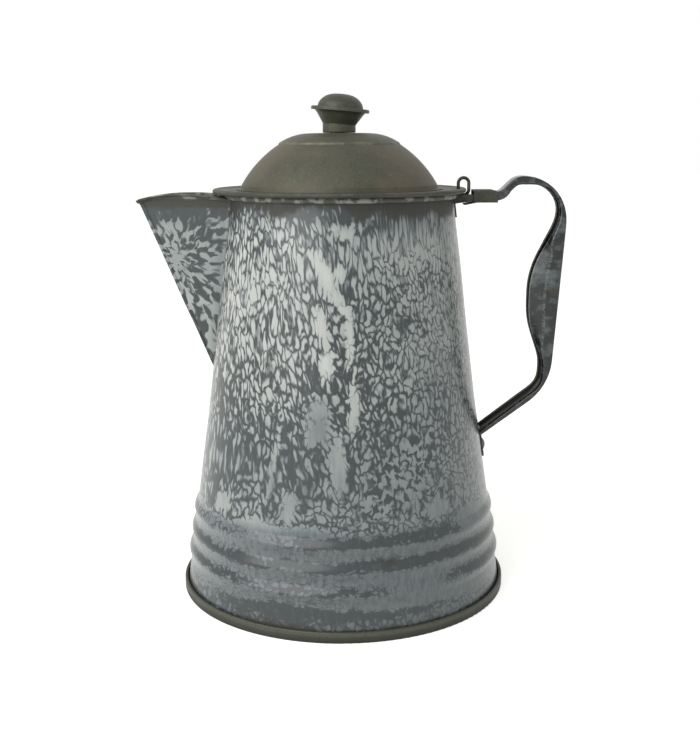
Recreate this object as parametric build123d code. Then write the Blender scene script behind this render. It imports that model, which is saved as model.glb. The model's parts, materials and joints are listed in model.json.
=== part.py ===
from build123d import *
import math
import os

# A spotted enamel coffee pot with a tinned lid that hangs on a wire link.
# Millimetres. Z is up, the origin is the middle of the foot on the table.
# The spout points to -X and the handle to +X.

# Sheet, wire and the gaps between pieces
steel_t = 1.0          # body and spout sheet with its enamel
handle_t = 0.9         # handle strip with its enamel
pan_t = 0.8            # bare sheet of the folded bottom
tin_t = 0.5            # tinned sheet of the lid, the sleeve and the knob
wire_gap = 0.05        # between a wire and the sheet rolled round it
seat_gap = 0.1         # between pieces that are folded or pushed together

# Foot and bottom pan
foot_r = 80.0          # outside of the folded seam that the pot stands on
foot_h = 5.2           # height of the folded seam
disc_z = 4.0           # top of the raised bottom disc
disc_sag = 0.6         # the disc is dished upwards by this much
pan_bend_r = 0.6       # outside bends of the pan

# Body wall
skirt_slope = 0.1435   # radius lost for each mm of height below the waist
cone_slope = 0.120     # the same above the waist
waist_z = 102.0        # where the two slopes meet
waist_blend = 25.0     # height of the soft bend on each side of the waist
rim_z = 192.5          # middle of the rolled rim
rim_wire_r = 0.6       # wire inside the rolled rim
rim_curl = 275.0       # degrees that the rim sheet turns round its wire
bead_low_z = 16.1      # root of the lowest raised bead
bead_w = 8.8           # height of one bead from root to root
bead_flat = 1.7        # plain wall between two beads
bead_count = 3
bead_proud = 1.7       # how far a bead stands out of the wall

# Strainer in the wall behind the spout
hole_d = 3.2
hole_start = 29.5      # lowest row above the spout's root
hole_rows = 6
hole_row_step = 8.0
hole_pitch = 5.5       # sideways from one hole to the next
hole_margin = 3.0      # kept free beside the spout's sheet

# Spout
spout_h = 84.0         # from the root of the keel to the middle of the rim
spout_reach = 44.33    # outside of the keel at the lip, from the wall at the rim
spout_tip_drop = 2.8   # tip of the lip below the middle of the rim
spout_top_rise = 0.4   # highest point of the lip's edge above it
spout_top_out = 22.9   # that point's distance from the wall
spout_end_drop = 1.5   # where the edge meets the rim, below its middle
spout_half_w = 15.2    # half the width where the lip meets the rim
spout_belly = 1.8      # how far each side bows out of a straight line
spout_nose_r = 1.5     # rounding of the keel at the lip
spout_wire_r = 0.5
spout_curl_r = 1.05    # outside of the sheet rolled round the wire
spout_pinch = 1.5      # at the tip the rolled edge stands this many times as far out as along the sides

# Lid
lid_x = -0.9           # the lid sits a little towards the spout
lid_gap = 0.35         # between the rim and the flange that lies over it
flange_over = 4.83     # how far the flange reaches past the rim
edge_wire_r = 0.5
edge_lift = 0.12       # middle of the wired edge above the flange's underside
edge_sweep = 265.0     # degrees that the flange's sheet turns round its wire
edge_rise = 2.4        # width of the flange's climb to its wired edge
mouth_gap = 1.47       # between the collar and the pot's mouth
collar_h = 5.9
dome_step_in = 3.8     # the dome's foot stands this far inside the collar
dome_h = 20.9          # height of the dome's flank
dome_lip = 2.2         # width of the dome's foot, soldered on the flange
dome_upright = 1.9     # height of the straight start of the dome
crown_r = 28.9
crown_step = 0.8       # pressed step between the flank and the crown
crown_h = 5.45         # from the flank's top to the middle of the crown
crown_sag = 0.2        # fall of the crown half way out

# Hinge link: a tall wire loop through a slot in the flange
link_wire_r = 0.8
link_half_w = 2.5      # middle line of each strand from the middle of the loop
link_h = 5.55          # middle line at the top of the loop above the hinge line
slot_gap = 0.3         # between the loop and the slot, all round

# Sleeve that holds the top end of the handle, and the bracket under the rim
sleeve_gap = 1.85      # from the middle line of the loop's strand to the sleeve
sleeve_len = 11.4
sleeve_rise = 1.5      # back of the handle in the sleeve above the rim's middle
sleeve_flare = 4.2     # the lower sheet runs on towards the pot by this much
flare_drop = 1.2
sleeve_round = 2.4     # rounding of the sleeve's top corner
bracket_half_w = 4.6
bracket_drop = 4.3     # underside of the bracket below the rim's middle
bracket_top_drop = 0.2
tongue_len = 6.5
tongue_t = 0.6

# Handle: back of the folded strip, then the free edges of its sides
strip_depth = 4.7      # depth of the folded strip in the sleeve
strip_tuck = 0.8       # its end lies this far inside the sleeve's mouth
arch_start = 1.5       # the strip starts to climb this far past the sleeve
arch_run = 7.2
arch_h = 7.05          # top of the arch above the strip in the sleeve
arch_depth = 4.1       # depth of the strip in the arch
arch_span = 33.25      # furthest reach of the back past the sleeve
arch_r = 16.8
foot_bend_r = 2.0      # bend where the strip leaves the sleeve
rise_r = 8.0           # bend at the top of the climb
knee_in = 6.15         # bend below the grip, inwards from the furthest reach
knee_drop = 92.9       # and below the middle of the rim
knee_r = 28.0
arm_drop = 24.4        # fall of the lower arm from the knee to the wall
grip_depth = 16.35     # from the back's furthest reach to the palm's side
grip_high = 39.5       # upper and lower end of the grip's palm below the rim
grip_low = 61.0
bend_drop = 9.5        # where the sides start to deepen, below the rim
grip_end = 12.9        # where they are shallow again, above the knee
arm_depth = 3.6
edge_r = 12.0          # bends of the free edges, in parts of this radius
arch_half_w = 6.0
grip_half_w = 7.5
grip_widen = 16.0      # height over which the strip widens to the grip
grip_gap = 3.25        # half the gap between the curled edges at the grip
lip_reach = 0.4        # how far past the sheet the curled edges are cut away
tab_over = 2.8         # tab above the lower arm's end
tab_under = 5.6        # tab below its rivet
tab_half_w = 6.5

# Handle rivet
rivet_drop = 6.0       # rivet below the lower arm's end
rivet_d = 3.2
rivet_head_d = 6.4
rivet_head_h = 1.3
burr_d = 8.0
burr_t = 0.8

# Knob
stem_r = 7.8
stem_h = 4.25
bowl_h = 6.7
bowl_waist = 1.8       # the bowl is this much wider than the stem a third of the way up
brim_r = 13.2
cap_r = 10.8
cap_h = 7.0
knob_tilt = 5.0        # the knob's top leans towards the handle
knob_rivet_d = 3.0
knob_head_d = 6.0
knob_head_h = 0.9
washer_d = 12.0
washer_t = 0.8

# Sizes worked out from the ones above
seam_z = pan_t + wire_gap                      # underside of the body's lip
lip_top_z = seam_z + steel_t
lip_r = foot_r - pan_t - seat_gap
hem_r = foot_r - 2 * pan_t                     # inside of the folded hem
seam_wall_r = hem_r - seat_gap                 # wall where it turns into the lip
waist_r = seam_wall_r - skirt_slope * (waist_z - lip_top_z)
rim_wall_r = waist_r - cone_slope * (rim_z - waist_z)
rim_curl_in = rim_wire_r + wire_gap
rim_curl_out = rim_curl_in + steel_t
rim_mid_r = rim_wall_r + rim_curl_in
bead_step = bead_w + bead_flat
spout_root_z = rim_z - spout_h
spout_tip_x = -rim_wall_r - spout_reach
spout_tip_z = rim_z - spout_tip_drop
spout_top_x = -rim_wall_r - spout_top_out
spout_top_z = rim_z + spout_top_rise
spout_end_z = rim_z - spout_end_drop
flange_z = rim_z + rim_curl_out + lid_gap      # underside of the flange
flange_top_z = flange_z + tin_t
flange_r = rim_mid_r + rim_curl_out + flange_over
edge_curl_in = edge_wire_r + wire_gap
edge_curl_out = edge_curl_in + tin_t
edge_mid_r = flange_r - edge_curl_out
edge_z = flange_z + edge_lift                  # middle of the wired edge
collar_r = rim_wall_r - steel_t - mouth_gap
dome_r = collar_r - dome_step_in
dome_z = flange_top_z + dome_h                 # top edge of the dome's flank
crown_top_z = dome_z + crown_h
link_x = lid_x + edge_mid_r                    # hinge line, middle of the wired edge
link_top_z = edge_z + link_h
sleeve_x = link_x + link_half_w + sleeve_gap
sleeve_end_x = sleeve_x + sleeve_len
socket_top_z = rim_z + sleeve_rise             # back of the strip in the sleeve
socket_low_z = socket_top_z - strip_depth      # free edges of the strip there
bracket_low_z = rim_z - bracket_drop
bracket_top_z = rim_z - bracket_top_drop
tongue_low_z = bracket_low_z - tongue_len
strip_start_x = sleeve_x + strip_tuck
arch_start_x = sleeve_end_x + arch_start
arch_rise_x = arch_start_x + arch_run
arch_z = socket_top_z + arch_h                 # top of the arch
grip_x = sleeve_end_x + arch_span              # furthest reach of the back
knee_x = grip_x - knee_in
knee_z = rim_z - knee_drop
arm_end_z = knee_z - arm_drop
rivet_z = arm_end_z - rivet_drop
tab_low_z = rivet_z - tab_under
tab_high_z = arm_end_z + tab_over
stem_top_z = crown_top_z + stem_h
brim_z = stem_top_z + bowl_h
cap_top_z = brim_z + cap_h
lid_axis = Axis((lid_x, 0, 0), (0, 0, 1))


def wall_r(z):
    """Outside radius of the plain wall at height z: two straight slopes."""
    if z < waist_z:
        return waist_r + skirt_slope * (waist_z - z)
    return waist_r - cone_slope * (z - waist_z)


def flat(*edges):
    """Flat face inside a closed run of edges."""
    return make_face([piece for edge in edges for piece in edge.edges()])


def rounded(face, radius, *corners):
    """The same face with the corners nearest the given points rounded."""
    picked = [face.vertices().sort_by_distance((x, y, 0))[0] for x, y in corners]
    return fillet(picked, radius)


def turned(face, axis=Axis.Z):
    """Solid of revolution from a face drawn as (distance, height)."""
    return revolve(Plane.XZ * face, axis)


def slab(face, half_width):
    """Solid across the XZ plane from a face drawn as (x, z)."""
    return extrude(Plane.XZ * face, half_width, both=True)


def front_slab(face, start_x, end_x):
    """Solid along X from a face drawn as (y, z)."""
    return extrude(Plane.YZ.offset(start_x) * face, end_x - start_x)


def wall_line(inset):
    """Wall from its lip to the rim, inset inwards, with beads and a soft waist."""
    runs = []
    low = (wall_r(lip_top_z) - inset, lip_top_z)
    along = (-skirt_slope, 1.0)
    for number in range(bead_count):
        root_z = bead_low_z + number * bead_step
        mid_z = root_z + bead_w / 2
        top_z = root_z + bead_w
        root = (wall_r(root_z) - inset, root_z)
        crest = (wall_r(mid_z) - inset + bead_proud, mid_z)
        top = (wall_r(top_z) - inset, top_z)
        runs.append(Line(low, root))
        runs.append(Spline(root, crest, top, tangents=[along, along]))
        low = top
    bend_low = (wall_r(waist_z - waist_blend) - inset, waist_z - waist_blend)
    bend_top = (wall_r(waist_z + waist_blend) - inset, waist_z + waist_blend)
    runs.append(Line(low, bend_low))
    runs.append(TangentArc(bend_low, bend_top, tangent=along))
    runs.append(Line(bend_top, (rim_wall_r - inset, rim_z)))
    return runs


def envelope(grow=0.0):
    """All that lies inside the pot's outer skin, and over its mouth, to seat what
    touches it."""
    low = (wall_r(lip_top_z) + grow, lip_top_z)
    top = (rim_wall_r + grow, rim_z)
    over_z = rim_z + 4 * rim_curl_out
    close = Polyline(top, (rim_mid_r, rim_z), (rim_mid_r, over_z), (0, over_z), (0, lip_top_z), low)
    core = turned(flat(*wall_line(-grow), close))
    rim = turned(Pos(rim_mid_r, rim_z) * Circle(rim_curl_out + grow))
    return core + rim


def make_body_shell():
    """Wall with its turned-out lip, three beads, the rolled rim and the strainer."""
    low_in = wall_r(lip_top_z) - steel_t
    lip = Polyline((low_in, lip_top_z), (low_in, seam_z), (lip_r, seam_z), (lip_r, lip_top_z),
                   (wall_r(lip_top_z), lip_top_z))
    curl_in = CenterArc((rim_mid_r, rim_z), rim_curl_in, 180, -rim_curl)
    curl_out = CenterArc((rim_mid_r, rim_z), rim_curl_out, 180, -rim_curl)
    shell = turned(flat(lip, *wall_line(0), *wall_line(steel_t), curl_in, curl_out,
                        Line(curl_in @ 1, curl_out @ 1)))
    drill = Rot(0, -90, 0) * Cylinder(hole_d / 2, rim_wall_r)
    for row in range(hole_rows):
        z = spout_root_z + hole_start + row * hole_row_step
        half_w = spout_half_w * (z - spout_root_z) / (spout_end_z - spout_root_z)
        count = int((2 * half_w - 2 * hole_margin) / hole_pitch) + 1
        for number in range(count):
            y = (number - (count - 1) / 2) * hole_pitch
            shell -= Pos(-wall_r(z), y, z) * drill
    shell -= rivet_bore(rivet_d + 2 * wire_gap)
    return shell


def make_rim_wire():
    return turned(Pos(rim_mid_r, rim_z) * Circle(rim_wire_r))


def make_bottom_pan():
    """Raised disc, a leg down inside the wall, and a seam folded over the lip."""
    leg_out = wall_r(disc_z) - steel_t - seat_gap
    leg_in = leg_out - pan_t
    under_z = disc_z - pan_t
    top = TangentArc((0, disc_z + disc_sag), (leg_out, disc_z), tangent=(1, 0))
    under = TangentArc((0, under_z + disc_sag), (leg_in, under_z), tangent=(1, 0))
    seam = Polyline((leg_out, disc_z), (leg_out, pan_t), (foot_r - pan_t, pan_t),
                    (foot_r - pan_t, lip_top_z + wire_gap), (hem_r, lip_top_z + wire_gap),
                    (hem_r, foot_h), (foot_r, foot_h), (foot_r, 0), (leg_in, 0), (leg_in, under_z))
    face = flat(top, seam, under, Line((0, under_z + disc_sag), (0, disc_z + disc_sag)))
    face = rounded(face, pan_bend_r, (foot_r, foot_h), (hem_r, foot_h), (foot_r, 0), (leg_in, 0))
    return turned(face)


def spout_edge_z(x):
    """Height of the lip's edge at x: it falls off both ways from its top."""
    if x < spout_top_x:
        drop = spout_top_z - spout_tip_z
        return spout_top_z - drop * ((x - spout_top_x) / (spout_tip_x - spout_top_x)) ** 2
    drop = spout_top_z - spout_end_z
    return spout_top_z - drop * ((x - spout_top_x) / (-rim_wall_r - spout_top_x)) ** 2


def spout_section(height):
    """Level cut through the spout at a height above its root, in true x and y."""
    root_x = -wall_r(spout_root_z)
    end_x = -math.sqrt(rim_wall_r ** 2 - spout_half_w ** 2)
    tip_scale = height / (spout_tip_z - spout_root_z)
    end_scale = height / (spout_end_z - spout_root_z)
    tip_x = root_x + tip_scale * (spout_tip_x - root_x)
    back_x = root_x + end_scale * (end_x - root_x)
    half_w = end_scale * spout_half_w
    belly = end_scale * spout_belly
    deep_x = back_x + half_w
    opening = math.atan2(half_w, back_x - tip_x) + 2 * math.atan2(2 * belly, back_x - tip_x)
    sharp_x = tip_x - spout_nose_r * (1 / math.sin(opening) - 1)   # before the nose is rounded
    middle = ((sharp_x + back_x) / 2, half_w / 2 + belly)
    side = ThreePointArc((sharp_x, 0), middle, (back_x, half_w))
    other = mirror(side, Plane.XZ)
    back = Polyline((back_x, half_w), (deep_x, half_w), (deep_x, -half_w), (back_x, -half_w))
    return rounded(flat(side, other, back), spout_nose_r, (sharp_x, 0))


def spout_edge_point(x, y):
    """Point on the lip's edge, from a point of the level cut at the lip's height."""
    root_x = -wall_r(spout_root_z)
    plan_h = spout_tip_z - spout_root_z
    height = plan_h
    for step in range(20):
        height = spout_edge_z(root_x + (x - root_x) * height / plan_h) - spout_root_z
    scale = height / plan_h
    return (root_x + (x - root_x) * scale, y * scale, spout_root_z + height)


def lip_run(radius):
    """Round bar along one half of the lip's edge, from the tip into the rim. Its
    middle line lies outside the sheet, which is rolled outwards round the wire."""
    section = spout_section(spout_tip_z - spout_root_z)
    box = section.bounding_box()
    out = spout_curl_r - steel_t / 2
    end_y = box.max.Y
    end_x = -math.sqrt(rim_wall_r ** 2 - end_y ** 2)
    tip = spout_edge_point(box.min.X - spout_pinch * out, 0)
    middle = spout_edge_point((box.min.X + end_x) / 2, -end_y / 2 - spout_belly - out)
    end = spout_edge_point(end_x + rim_curl_out, -end_y - spout_belly / 4)
    run = ThreePointArc(tip, middle, end)
    bar = sweep(Plane(origin=run @ 0, z_dir=run % 0) * Circle(radius), path=run)
    return bar + Pos(*tip) * Sphere(radius)


def both_sides(solid):
    return solid + mirror(solid, Plane.XZ)


def make_spout():
    """Pointed lip of bent sheet, cut to its edge and rolled round a wire."""
    high = spout_top_z - spout_root_z + 2 * spout_curl_r
    root = (-wall_r(spout_root_z), 0, spout_root_z)
    outer_section = Pos(0, 0, spout_root_z + high) * spout_section(high)
    inner_section = offset(outer_section, -steel_t)
    outer = loft([Vertex(*root), outer_section])
    inner = loft([Vertex(root[0] + steel_t, 0, root[2]), inner_section])
    xs = [spout_tip_x - spout_half_w / 4, spout_tip_x, spout_top_x, -rim_wall_r, -rim_wall_r + spout_half_w]
    crest = Spline(*[(x, spout_edge_z(x)) for x in xs])
    over_z = spout_top_z + spout_half_w
    over = Polyline(crest @ 1, (xs[-1], over_z), (xs[0], over_z), crest @ 0)
    above = slab(flat(crest, over), 2 * spout_half_w)
    sheet = outer - inner - above
    skin = envelope()
    curl = both_sides(lip_run(spout_curl_r) - skin)
    bore = both_sides(lip_run(spout_wire_r + wire_gap))
    return (sheet - skin) + curl - bore


def make_spout_wire():
    return both_sides(lip_run(spout_wire_r) - envelope(wire_gap))


def handle_back():
    """Back of the folded strip: sleeve, arch, straight grip, knee, lower arm."""
    return FilletPolyline((strip_start_x, socket_top_z), (arch_start_x, socket_top_z),
                          (arch_rise_x, arch_z), (grip_x, arch_z), (knee_x, knee_z),
                          (wall_r(arm_end_z), arm_end_z), radius=[foot_bend_r, rise_r, arch_r, knee_r])


def handle_edge():
    """Free edges of the strip's sides, deep at the grip and shallow elsewhere."""
    under_z = arch_z - arch_depth
    bend_x = grip_x - arch_depth
    palm_x = grip_x - grip_depth
    below_x = knee_x - arch_depth
    end_z = arm_end_z + arm_depth / 2
    return FilletPolyline((strip_start_x, socket_low_z), (arch_start_x + foot_bend_r / 4, socket_low_z),
                          (arch_rise_x + arch_depth / 10, under_z), (bend_x, under_z),
                          (bend_x, rim_z - bend_drop), (palm_x, rim_z - grip_high),
                          (palm_x, rim_z - grip_low), (below_x, knee_z + grip_end),
                          (below_x - arm_depth / 12, knee_z + arm_depth / 4),
                          (wall_r(end_z) - steel_t, end_z),
                          radius=[foot_bend_r, 0.4 * edge_r, 0.8 * edge_r, edge_r, 2.2 * edge_r,
                                  1.5 * edge_r, edge_r, 0.75 * edge_r])


def width_face(inset):
    """Front view of the strip: narrow in the arch, wider from the grip down."""
    arch = arch_half_w - inset
    grip = grip_half_w - inset
    narrow_z = socket_low_z - inset
    right = [(arch, arch_z + arch_h), (arch, narrow_z), (grip, narrow_z - grip_widen),
             (grip, tab_low_z - tab_under)]
    left = [(-y, z) for y, z in reversed(right)]
    return make_face(Polyline(*right, *left, close=True).edges())


def gap_face():
    """Front view of the opening between the free edges: it closes in at the grip."""
    wide = grip_half_w - handle_t
    arch = arch_half_w - handle_t
    high_z = rim_z - (bend_drop + grip_high) / 2
    low_z = rim_z - grip_low
    round_r = 3 * arch_depth
    right = FilletPolyline((arch, arch_z + arch_h), (arch, rim_z - 2 * bend_drop),
                           (grip_gap, high_z - bend_drop), (grip_gap, low_z - bend_drop),
                           (wide, knee_z + grip_end - arm_depth), (wide, tab_low_z - tab_under),
                           radius=[round_r, round_r, round_r, arch_depth])
    left = mirror(right, Plane.YZ)
    return make_face((right + left + Line(right @ 0, left @ 0) + Line(right @ 1, left @ 1)).edges())


def rivet_frame():
    """Place on the wall at the rivet, looking out square to the wall."""
    lean = math.degrees(math.atan(skirt_slope))
    return Pos(wall_r(rivet_z), 0, rivet_z) * Rot(0, 90 - lean, 0)


def rivet_bore(diameter):
    return rivet_frame() * Cylinder(diameter / 2, 6 * (steel_t + handle_t))


def burr_depth():
    """Depth of the flat burr's outer face: the hollow wall holds it off by its bow."""
    return steel_t + wire_gap + burr_d ** 2 / (8 * wall_r(rivet_z)) + wire_gap


def make_handle():
    """One strip folded to a channel, open towards the pot, with a riveted tab."""
    back = handle_back()
    edge = handle_edge()
    side = flat(back, edge, Line(back @ 0, edge @ 0), Line(back @ 1, edge @ 1))
    reach = grip_x + grip_depth
    solid = slab(side, grip_half_w) & front_slab(width_face(0), 0, reach)
    inside = side - trace(back, line_width=2 * handle_t) - trace(edge, line_width=2 * handle_t)
    hollow = slab(inside, grip_half_w) & front_slab(width_face(handle_t), 0, reach)
    edge_band = slab(trace(edge, line_width=2 * (handle_t + lip_reach)), grip_half_w)
    edge_gap = edge_band & front_slab(gap_face(), 0, reach)
    end_z = (socket_top_z + socket_low_z) / 2 - handle_t
    end_gap = Pos(strip_start_x, 0, end_z) * Box(sleeve_len / 2, 2 * (arch_half_w - handle_t), strip_depth)
    strip = solid - hollow - edge_gap - end_gap
    low_r = wall_r(tab_low_z) + wire_gap
    high_r = wall_r(tab_high_z) + wire_gap
    tab_side = make_face(Polyline((low_r - steel_t, tab_low_z), (low_r + handle_t, tab_low_z),
                                  (high_r + handle_t, tab_high_z), (high_r - steel_t, tab_high_z),
                                  close=True).edges())
    tab_front = Pos(0, (tab_high_z + tab_low_z) / 2) * RectangleRounded(
        2 * tab_half_w, tab_high_z - tab_low_z, tab_half_w * 0.6)
    tab = slab(tab_side, tab_half_w) & front_slab(tab_front, 0, reach)
    return strip + tab - envelope(wire_gap) - rivet_bore(rivet_d + 2 * wire_gap)


def make_handle_rivet():
    """Round head outside, shank through tab, wall and burr, and a peened end."""
    grip = handle_t + wire_gap
    inner = burr_depth() + burr_t + wire_gap
    shank = Pos(0, 0, (grip - inner) / 2) * Cylinder(rivet_d / 2, grip + inner)
    head = turned_cap(rivet_head_d / 2, rivet_head_h, grip)
    end = mirror(turned_cap(rivet_head_d / 2.4, rivet_head_h * 0.7, inner), Plane.XY)
    return rivet_frame() * (shank + head + end)


def turned_cap(radius, height, base):
    """Low round dome standing on the level base."""
    arc = TangentArc((0, base + height), (radius, base), tangent=(1, 0))
    return turned(flat(arc, Polyline((radius, base), (0, base), (0, base + height))))


def make_rivet_burr():
    depth = burr_depth() + burr_t / 2
    ring = Cylinder(burr_d / 2, burr_t) - Cylinder(rivet_d / 2 + wire_gap, burr_t)
    return rivet_frame() * Pos(0, 0, -depth) * ring


def sleeve_box():
    """Inside of the sleeve in y and z: half width, low and high."""
    half_w = arch_half_w + seat_gap
    return half_w, socket_low_z - seat_gap, socket_top_z + seat_gap


def make_handle_socket():
    """Flat tinned tube round the handle's top end, its lower sheet run on to the pot."""
    half_w, low_z, high_z = sleeve_box()
    mid_z = (low_z + high_z) / 2
    height = high_z - low_z
    inside = Pos(0, mid_z) * Rectangle(2 * half_w, height)
    outside = Pos(0, mid_z) * RectangleRounded(2 * (half_w + tin_t), height + 2 * tin_t, tin_t)
    side = Pos((sleeve_x + sleeve_end_x) / 2, mid_z) * Rectangle(sleeve_len, height + 2 * tin_t)
    side = rounded(side, sleeve_round, (sleeve_end_x, high_z + tin_t))
    tube = front_slab(outside, sleeve_x, sleeve_end_x) & slab(side, 2 * half_w)
    tube -= front_slab(inside, sleeve_x, sleeve_end_x)
    flare_x = sleeve_x - sleeve_flare
    joint_x = sleeve_x + sleeve_flare / 2
    flare = Polyline((joint_x, low_z), (joint_x, low_z - tin_t), (flare_x, low_z - tin_t - flare_drop),
                     (flare_x, low_z - flare_drop), close=True)
    return tube + slab(make_face(flare.edges()), half_w - 2 * tin_t)


def link_loop(radius):
    """Tall loop of round wire: two straight strands and two half rings."""
    half_w = link_half_w
    top_z = link_top_z - half_w
    path = [Line((-half_w, edge_z), (-half_w, top_z)), CenterArc((0, top_z), half_w, 180, -180),
            Line((half_w, top_z), (half_w, edge_z)), CenterArc((0, edge_z), half_w, 0, -180)]
    bar = None
    for run in path:
        line = Plane.XZ * run
        piece = sweep(Plane(origin=line @ 0, z_dir=line % 0) * Circle(radius), path=line)
        bar = piece if bar is None else bar + piece
    return Pos(link_x, 0, 0) * bar


def make_hinge_link():
    return link_loop(link_wire_r)


def make_hinge_bracket():
    """Solder-filled strap under the rim: a tongue down the wall, a saddle for the
    loop, and a tang that goes into the sleeve."""
    half_w, low_z, high_z = sleeve_box()
    inside_x = rim_wall_r - 2 * steel_t
    strap_x = wall_r(bracket_low_z) + tongue_t
    tang_x = strip_start_x - seat_gap
    tang_low = low_z + wire_gap
    tang_top = (low_z + high_z) / 2 + tongue_t
    saddle = Polyline((inside_x, bracket_low_z), (strap_x, bracket_low_z), (sleeve_x - 2 * tin_t, tang_low),
                      (tang_x, tang_low), (tang_x, tang_top), (sleeve_x, tang_top),
                      (sleeve_x - 2 * tin_t, bracket_top_z), (inside_x, bracket_top_z), close=True)
    tongue = Polyline((inside_x, tongue_low_z), (wall_r(tongue_low_z) + tongue_t, tongue_low_z),
                      (strap_x, bracket_low_z), (strap_x, bracket_low_z + tongue_t),
                      (inside_x, bracket_low_z + tongue_t), close=True)
    block = slab(make_face(saddle.edges()), bracket_half_w)
    strap = slab(make_face(tongue.edges()), bracket_half_w - tongue_t)
    return block + strap - envelope() - link_loop(link_wire_r)


def make_lid_flange():
    """Level ring of tinned sheet rolled round the edge wire, slotted for the loop."""
    hole_r = dome_r - tin_t
    curl_in = CenterArc((edge_mid_r, edge_z), edge_curl_in, 90, -edge_sweep)
    curl_out = CenterArc((edge_mid_r, edge_z), edge_curl_out, 90, -edge_sweep)
    rise_r = edge_mid_r - edge_rise
    top = Polyline((rise_r, flange_top_z), (hole_r, flange_top_z), (hole_r, flange_z), (rise_r, flange_z))
    over = Spline((rise_r, flange_top_z), (edge_mid_r, edge_z + edge_curl_out), tangents=[(1, 0), (1, 0)])
    under = Spline((rise_r, flange_z), (edge_mid_r, edge_z + edge_curl_in), tangents=[(1, 0), (1, 0)])
    face = flat(top, over, under, curl_in, curl_out, Line(curl_in @ 1, curl_out @ 1))
    ring = turned(Pos(lid_x, 0) * face, lid_axis)
    near = link_half_w - link_wire_r - slot_gap
    far = link_top_z - edge_z + link_wire_r + slot_gap
    slot_w = 2 * (link_wire_r + slot_gap)
    slot = extrude(SlotOverall(far - near, slot_w), 3 * tin_t, both=True)
    return ring - Pos(link_x - (near + far) / 2, 0, flange_z) * slot


def make_lid_edge_wire():
    return turned(Pos(lid_x + edge_mid_r, edge_z) * Circle(edge_wire_r), lid_axis)


def make_lid_collar():
    """Plain band under the flange that drops inside the mouth."""
    low_z = flange_z - collar_h
    face = Pos(collar_r - tin_t / 2, flange_z - collar_h / 2) * Rectangle(tin_t, collar_h)
    face = rounded(face, tin_t / 3, (collar_r - tin_t, low_z), (collar_r, low_z))
    return turned(Pos(lid_x, 0) * face, lid_axis)


def dome_line(inset):
    """Dome from its foot to the middle of the crown, inset inwards and down."""
    lean = 0.6 * inset                         # inset square to the sloping flank
    drop = 0.8 * inset
    foot = (dome_r - inset, flange_top_z + tin_t - inset)
    shoulder = (dome_r - 0.2 * dome_upright - inset, flange_top_z + tin_t + dome_upright)
    haunch = (0.877 * dome_r - drop, flange_top_z + 0.483 * dome_h - lean)
    top = (crown_r - lean, dome_z - drop)
    step = (crown_r - crown_step / 2 - lean, dome_z + crown_step - drop)
    middle = (0, crown_top_z - inset)
    flank = [Line(foot, shoulder), ThreePointArc(shoulder, haunch, top)]
    crown = TangentArc(middle, (crown_r / 2, crown_top_z - crown_sag - inset), tangent=(1, 0))
    brow = TangentArc(crown @ 1, step, tangent=crown % 1)
    return flank + [Line(top, step), brow, crown]


def make_lid_dome():
    """Pressed dome with a foot lip, a straight start, a stepped crown and a rivet hole."""
    lip_out = dome_r + dome_lip
    low_z = flange_top_z
    high_z = flange_top_z + tin_t
    lip = Polyline((dome_r, high_z), (lip_out, high_z), (lip_out, low_z), (dome_r - tin_t, low_z))
    dome = flat(lip, *dome_line(0), *dome_line(tin_t), Line((0, crown_top_z), (0, crown_top_z - tin_t)))
    solid = turned(Pos(lid_x, 0) * dome, lid_axis)
    return solid - Pos(lid_x, 0, crown_top_z) * Cylinder(knob_rivet_d / 2 + wire_gap, crown_h)


def tilted(solid):
    """Bowl and cap lean together about the top of the stem."""
    return Pos(lid_x, 0, stem_top_z) * Rot(0, knob_tilt, 0) * Pos(0, 0, -stem_top_z) * solid


def make_knob_spool():
    """Spun stem with a closed foot, and a tilted bowl with its brim."""
    foot_z = crown_top_z + wire_gap
    bore_r = knob_rivet_d / 2 + wire_gap
    inner_r = stem_r - tin_t
    start_z = stem_top_z - 2.4 * tin_t
    third_z = stem_top_z + 0.36 * bowl_h
    stem = Polyline((bore_r, foot_z), (stem_r, foot_z), (stem_r, stem_top_z), (inner_r, stem_top_z),
                    (inner_r, foot_z + tin_t), (bore_r, foot_z + tin_t), close=True)
    face = rounded(make_face(stem.edges()), tin_t, (stem_r, foot_z))
    neck_in = 0.9 * tin_t                      # the bowl starts inside the stem's sheet
    slopes = [(0.45, 1), (1, 0.35)]
    outer = Spline((stem_r - neck_in, start_z), (stem_r + bowl_waist, third_z), (brim_r, brim_z - tin_t),
                   tangents=slopes)
    inner = Spline((inner_r - neck_in, start_z), (inner_r + bowl_waist, third_z + tin_t / 2),
                   (brim_r, brim_z), tangents=slopes)
    bowl = flat(outer, inner, Line(outer @ 0, inner @ 0), Line(outer @ 1, inner @ 1))
    return turned(Pos(lid_x, 0) * face, lid_axis) + tilted(turned(bowl))


def cap_line(inset):
    """Cap from the brim to its top, inset inwards and down."""
    base_z = brim_z + wire_gap + tin_t
    lean = 0.7 * inset
    return Spline((cap_r - inset, base_z), (0.8 * cap_r - lean, base_z + 0.58 * cap_h - lean),
                  (0, cap_top_z - inset), tangents=[(-0.1, 1), (-1, 0)])


def make_knob_cap():
    """Domed cap with its edge closed over the brim of the bowl."""
    low_z = brim_z + wire_gap
    top_z = low_z + tin_t
    edge_r = brim_r + wire_gap
    hem_z = low_z - 2 * tin_t
    hook = Polyline((cap_r, top_z), (edge_r + tin_t, top_z), (edge_r + tin_t, hem_z), (edge_r, hem_z),
                    (edge_r, low_z), (cap_r - tin_t, low_z), (cap_r - tin_t, top_z))
    face = flat(hook, cap_line(0), cap_line(tin_t), Line((0, cap_top_z), (0, cap_top_z - tin_t)))
    return tilted(turned(rounded(face, 0.9 * tin_t, (edge_r + tin_t, top_z))))


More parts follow.
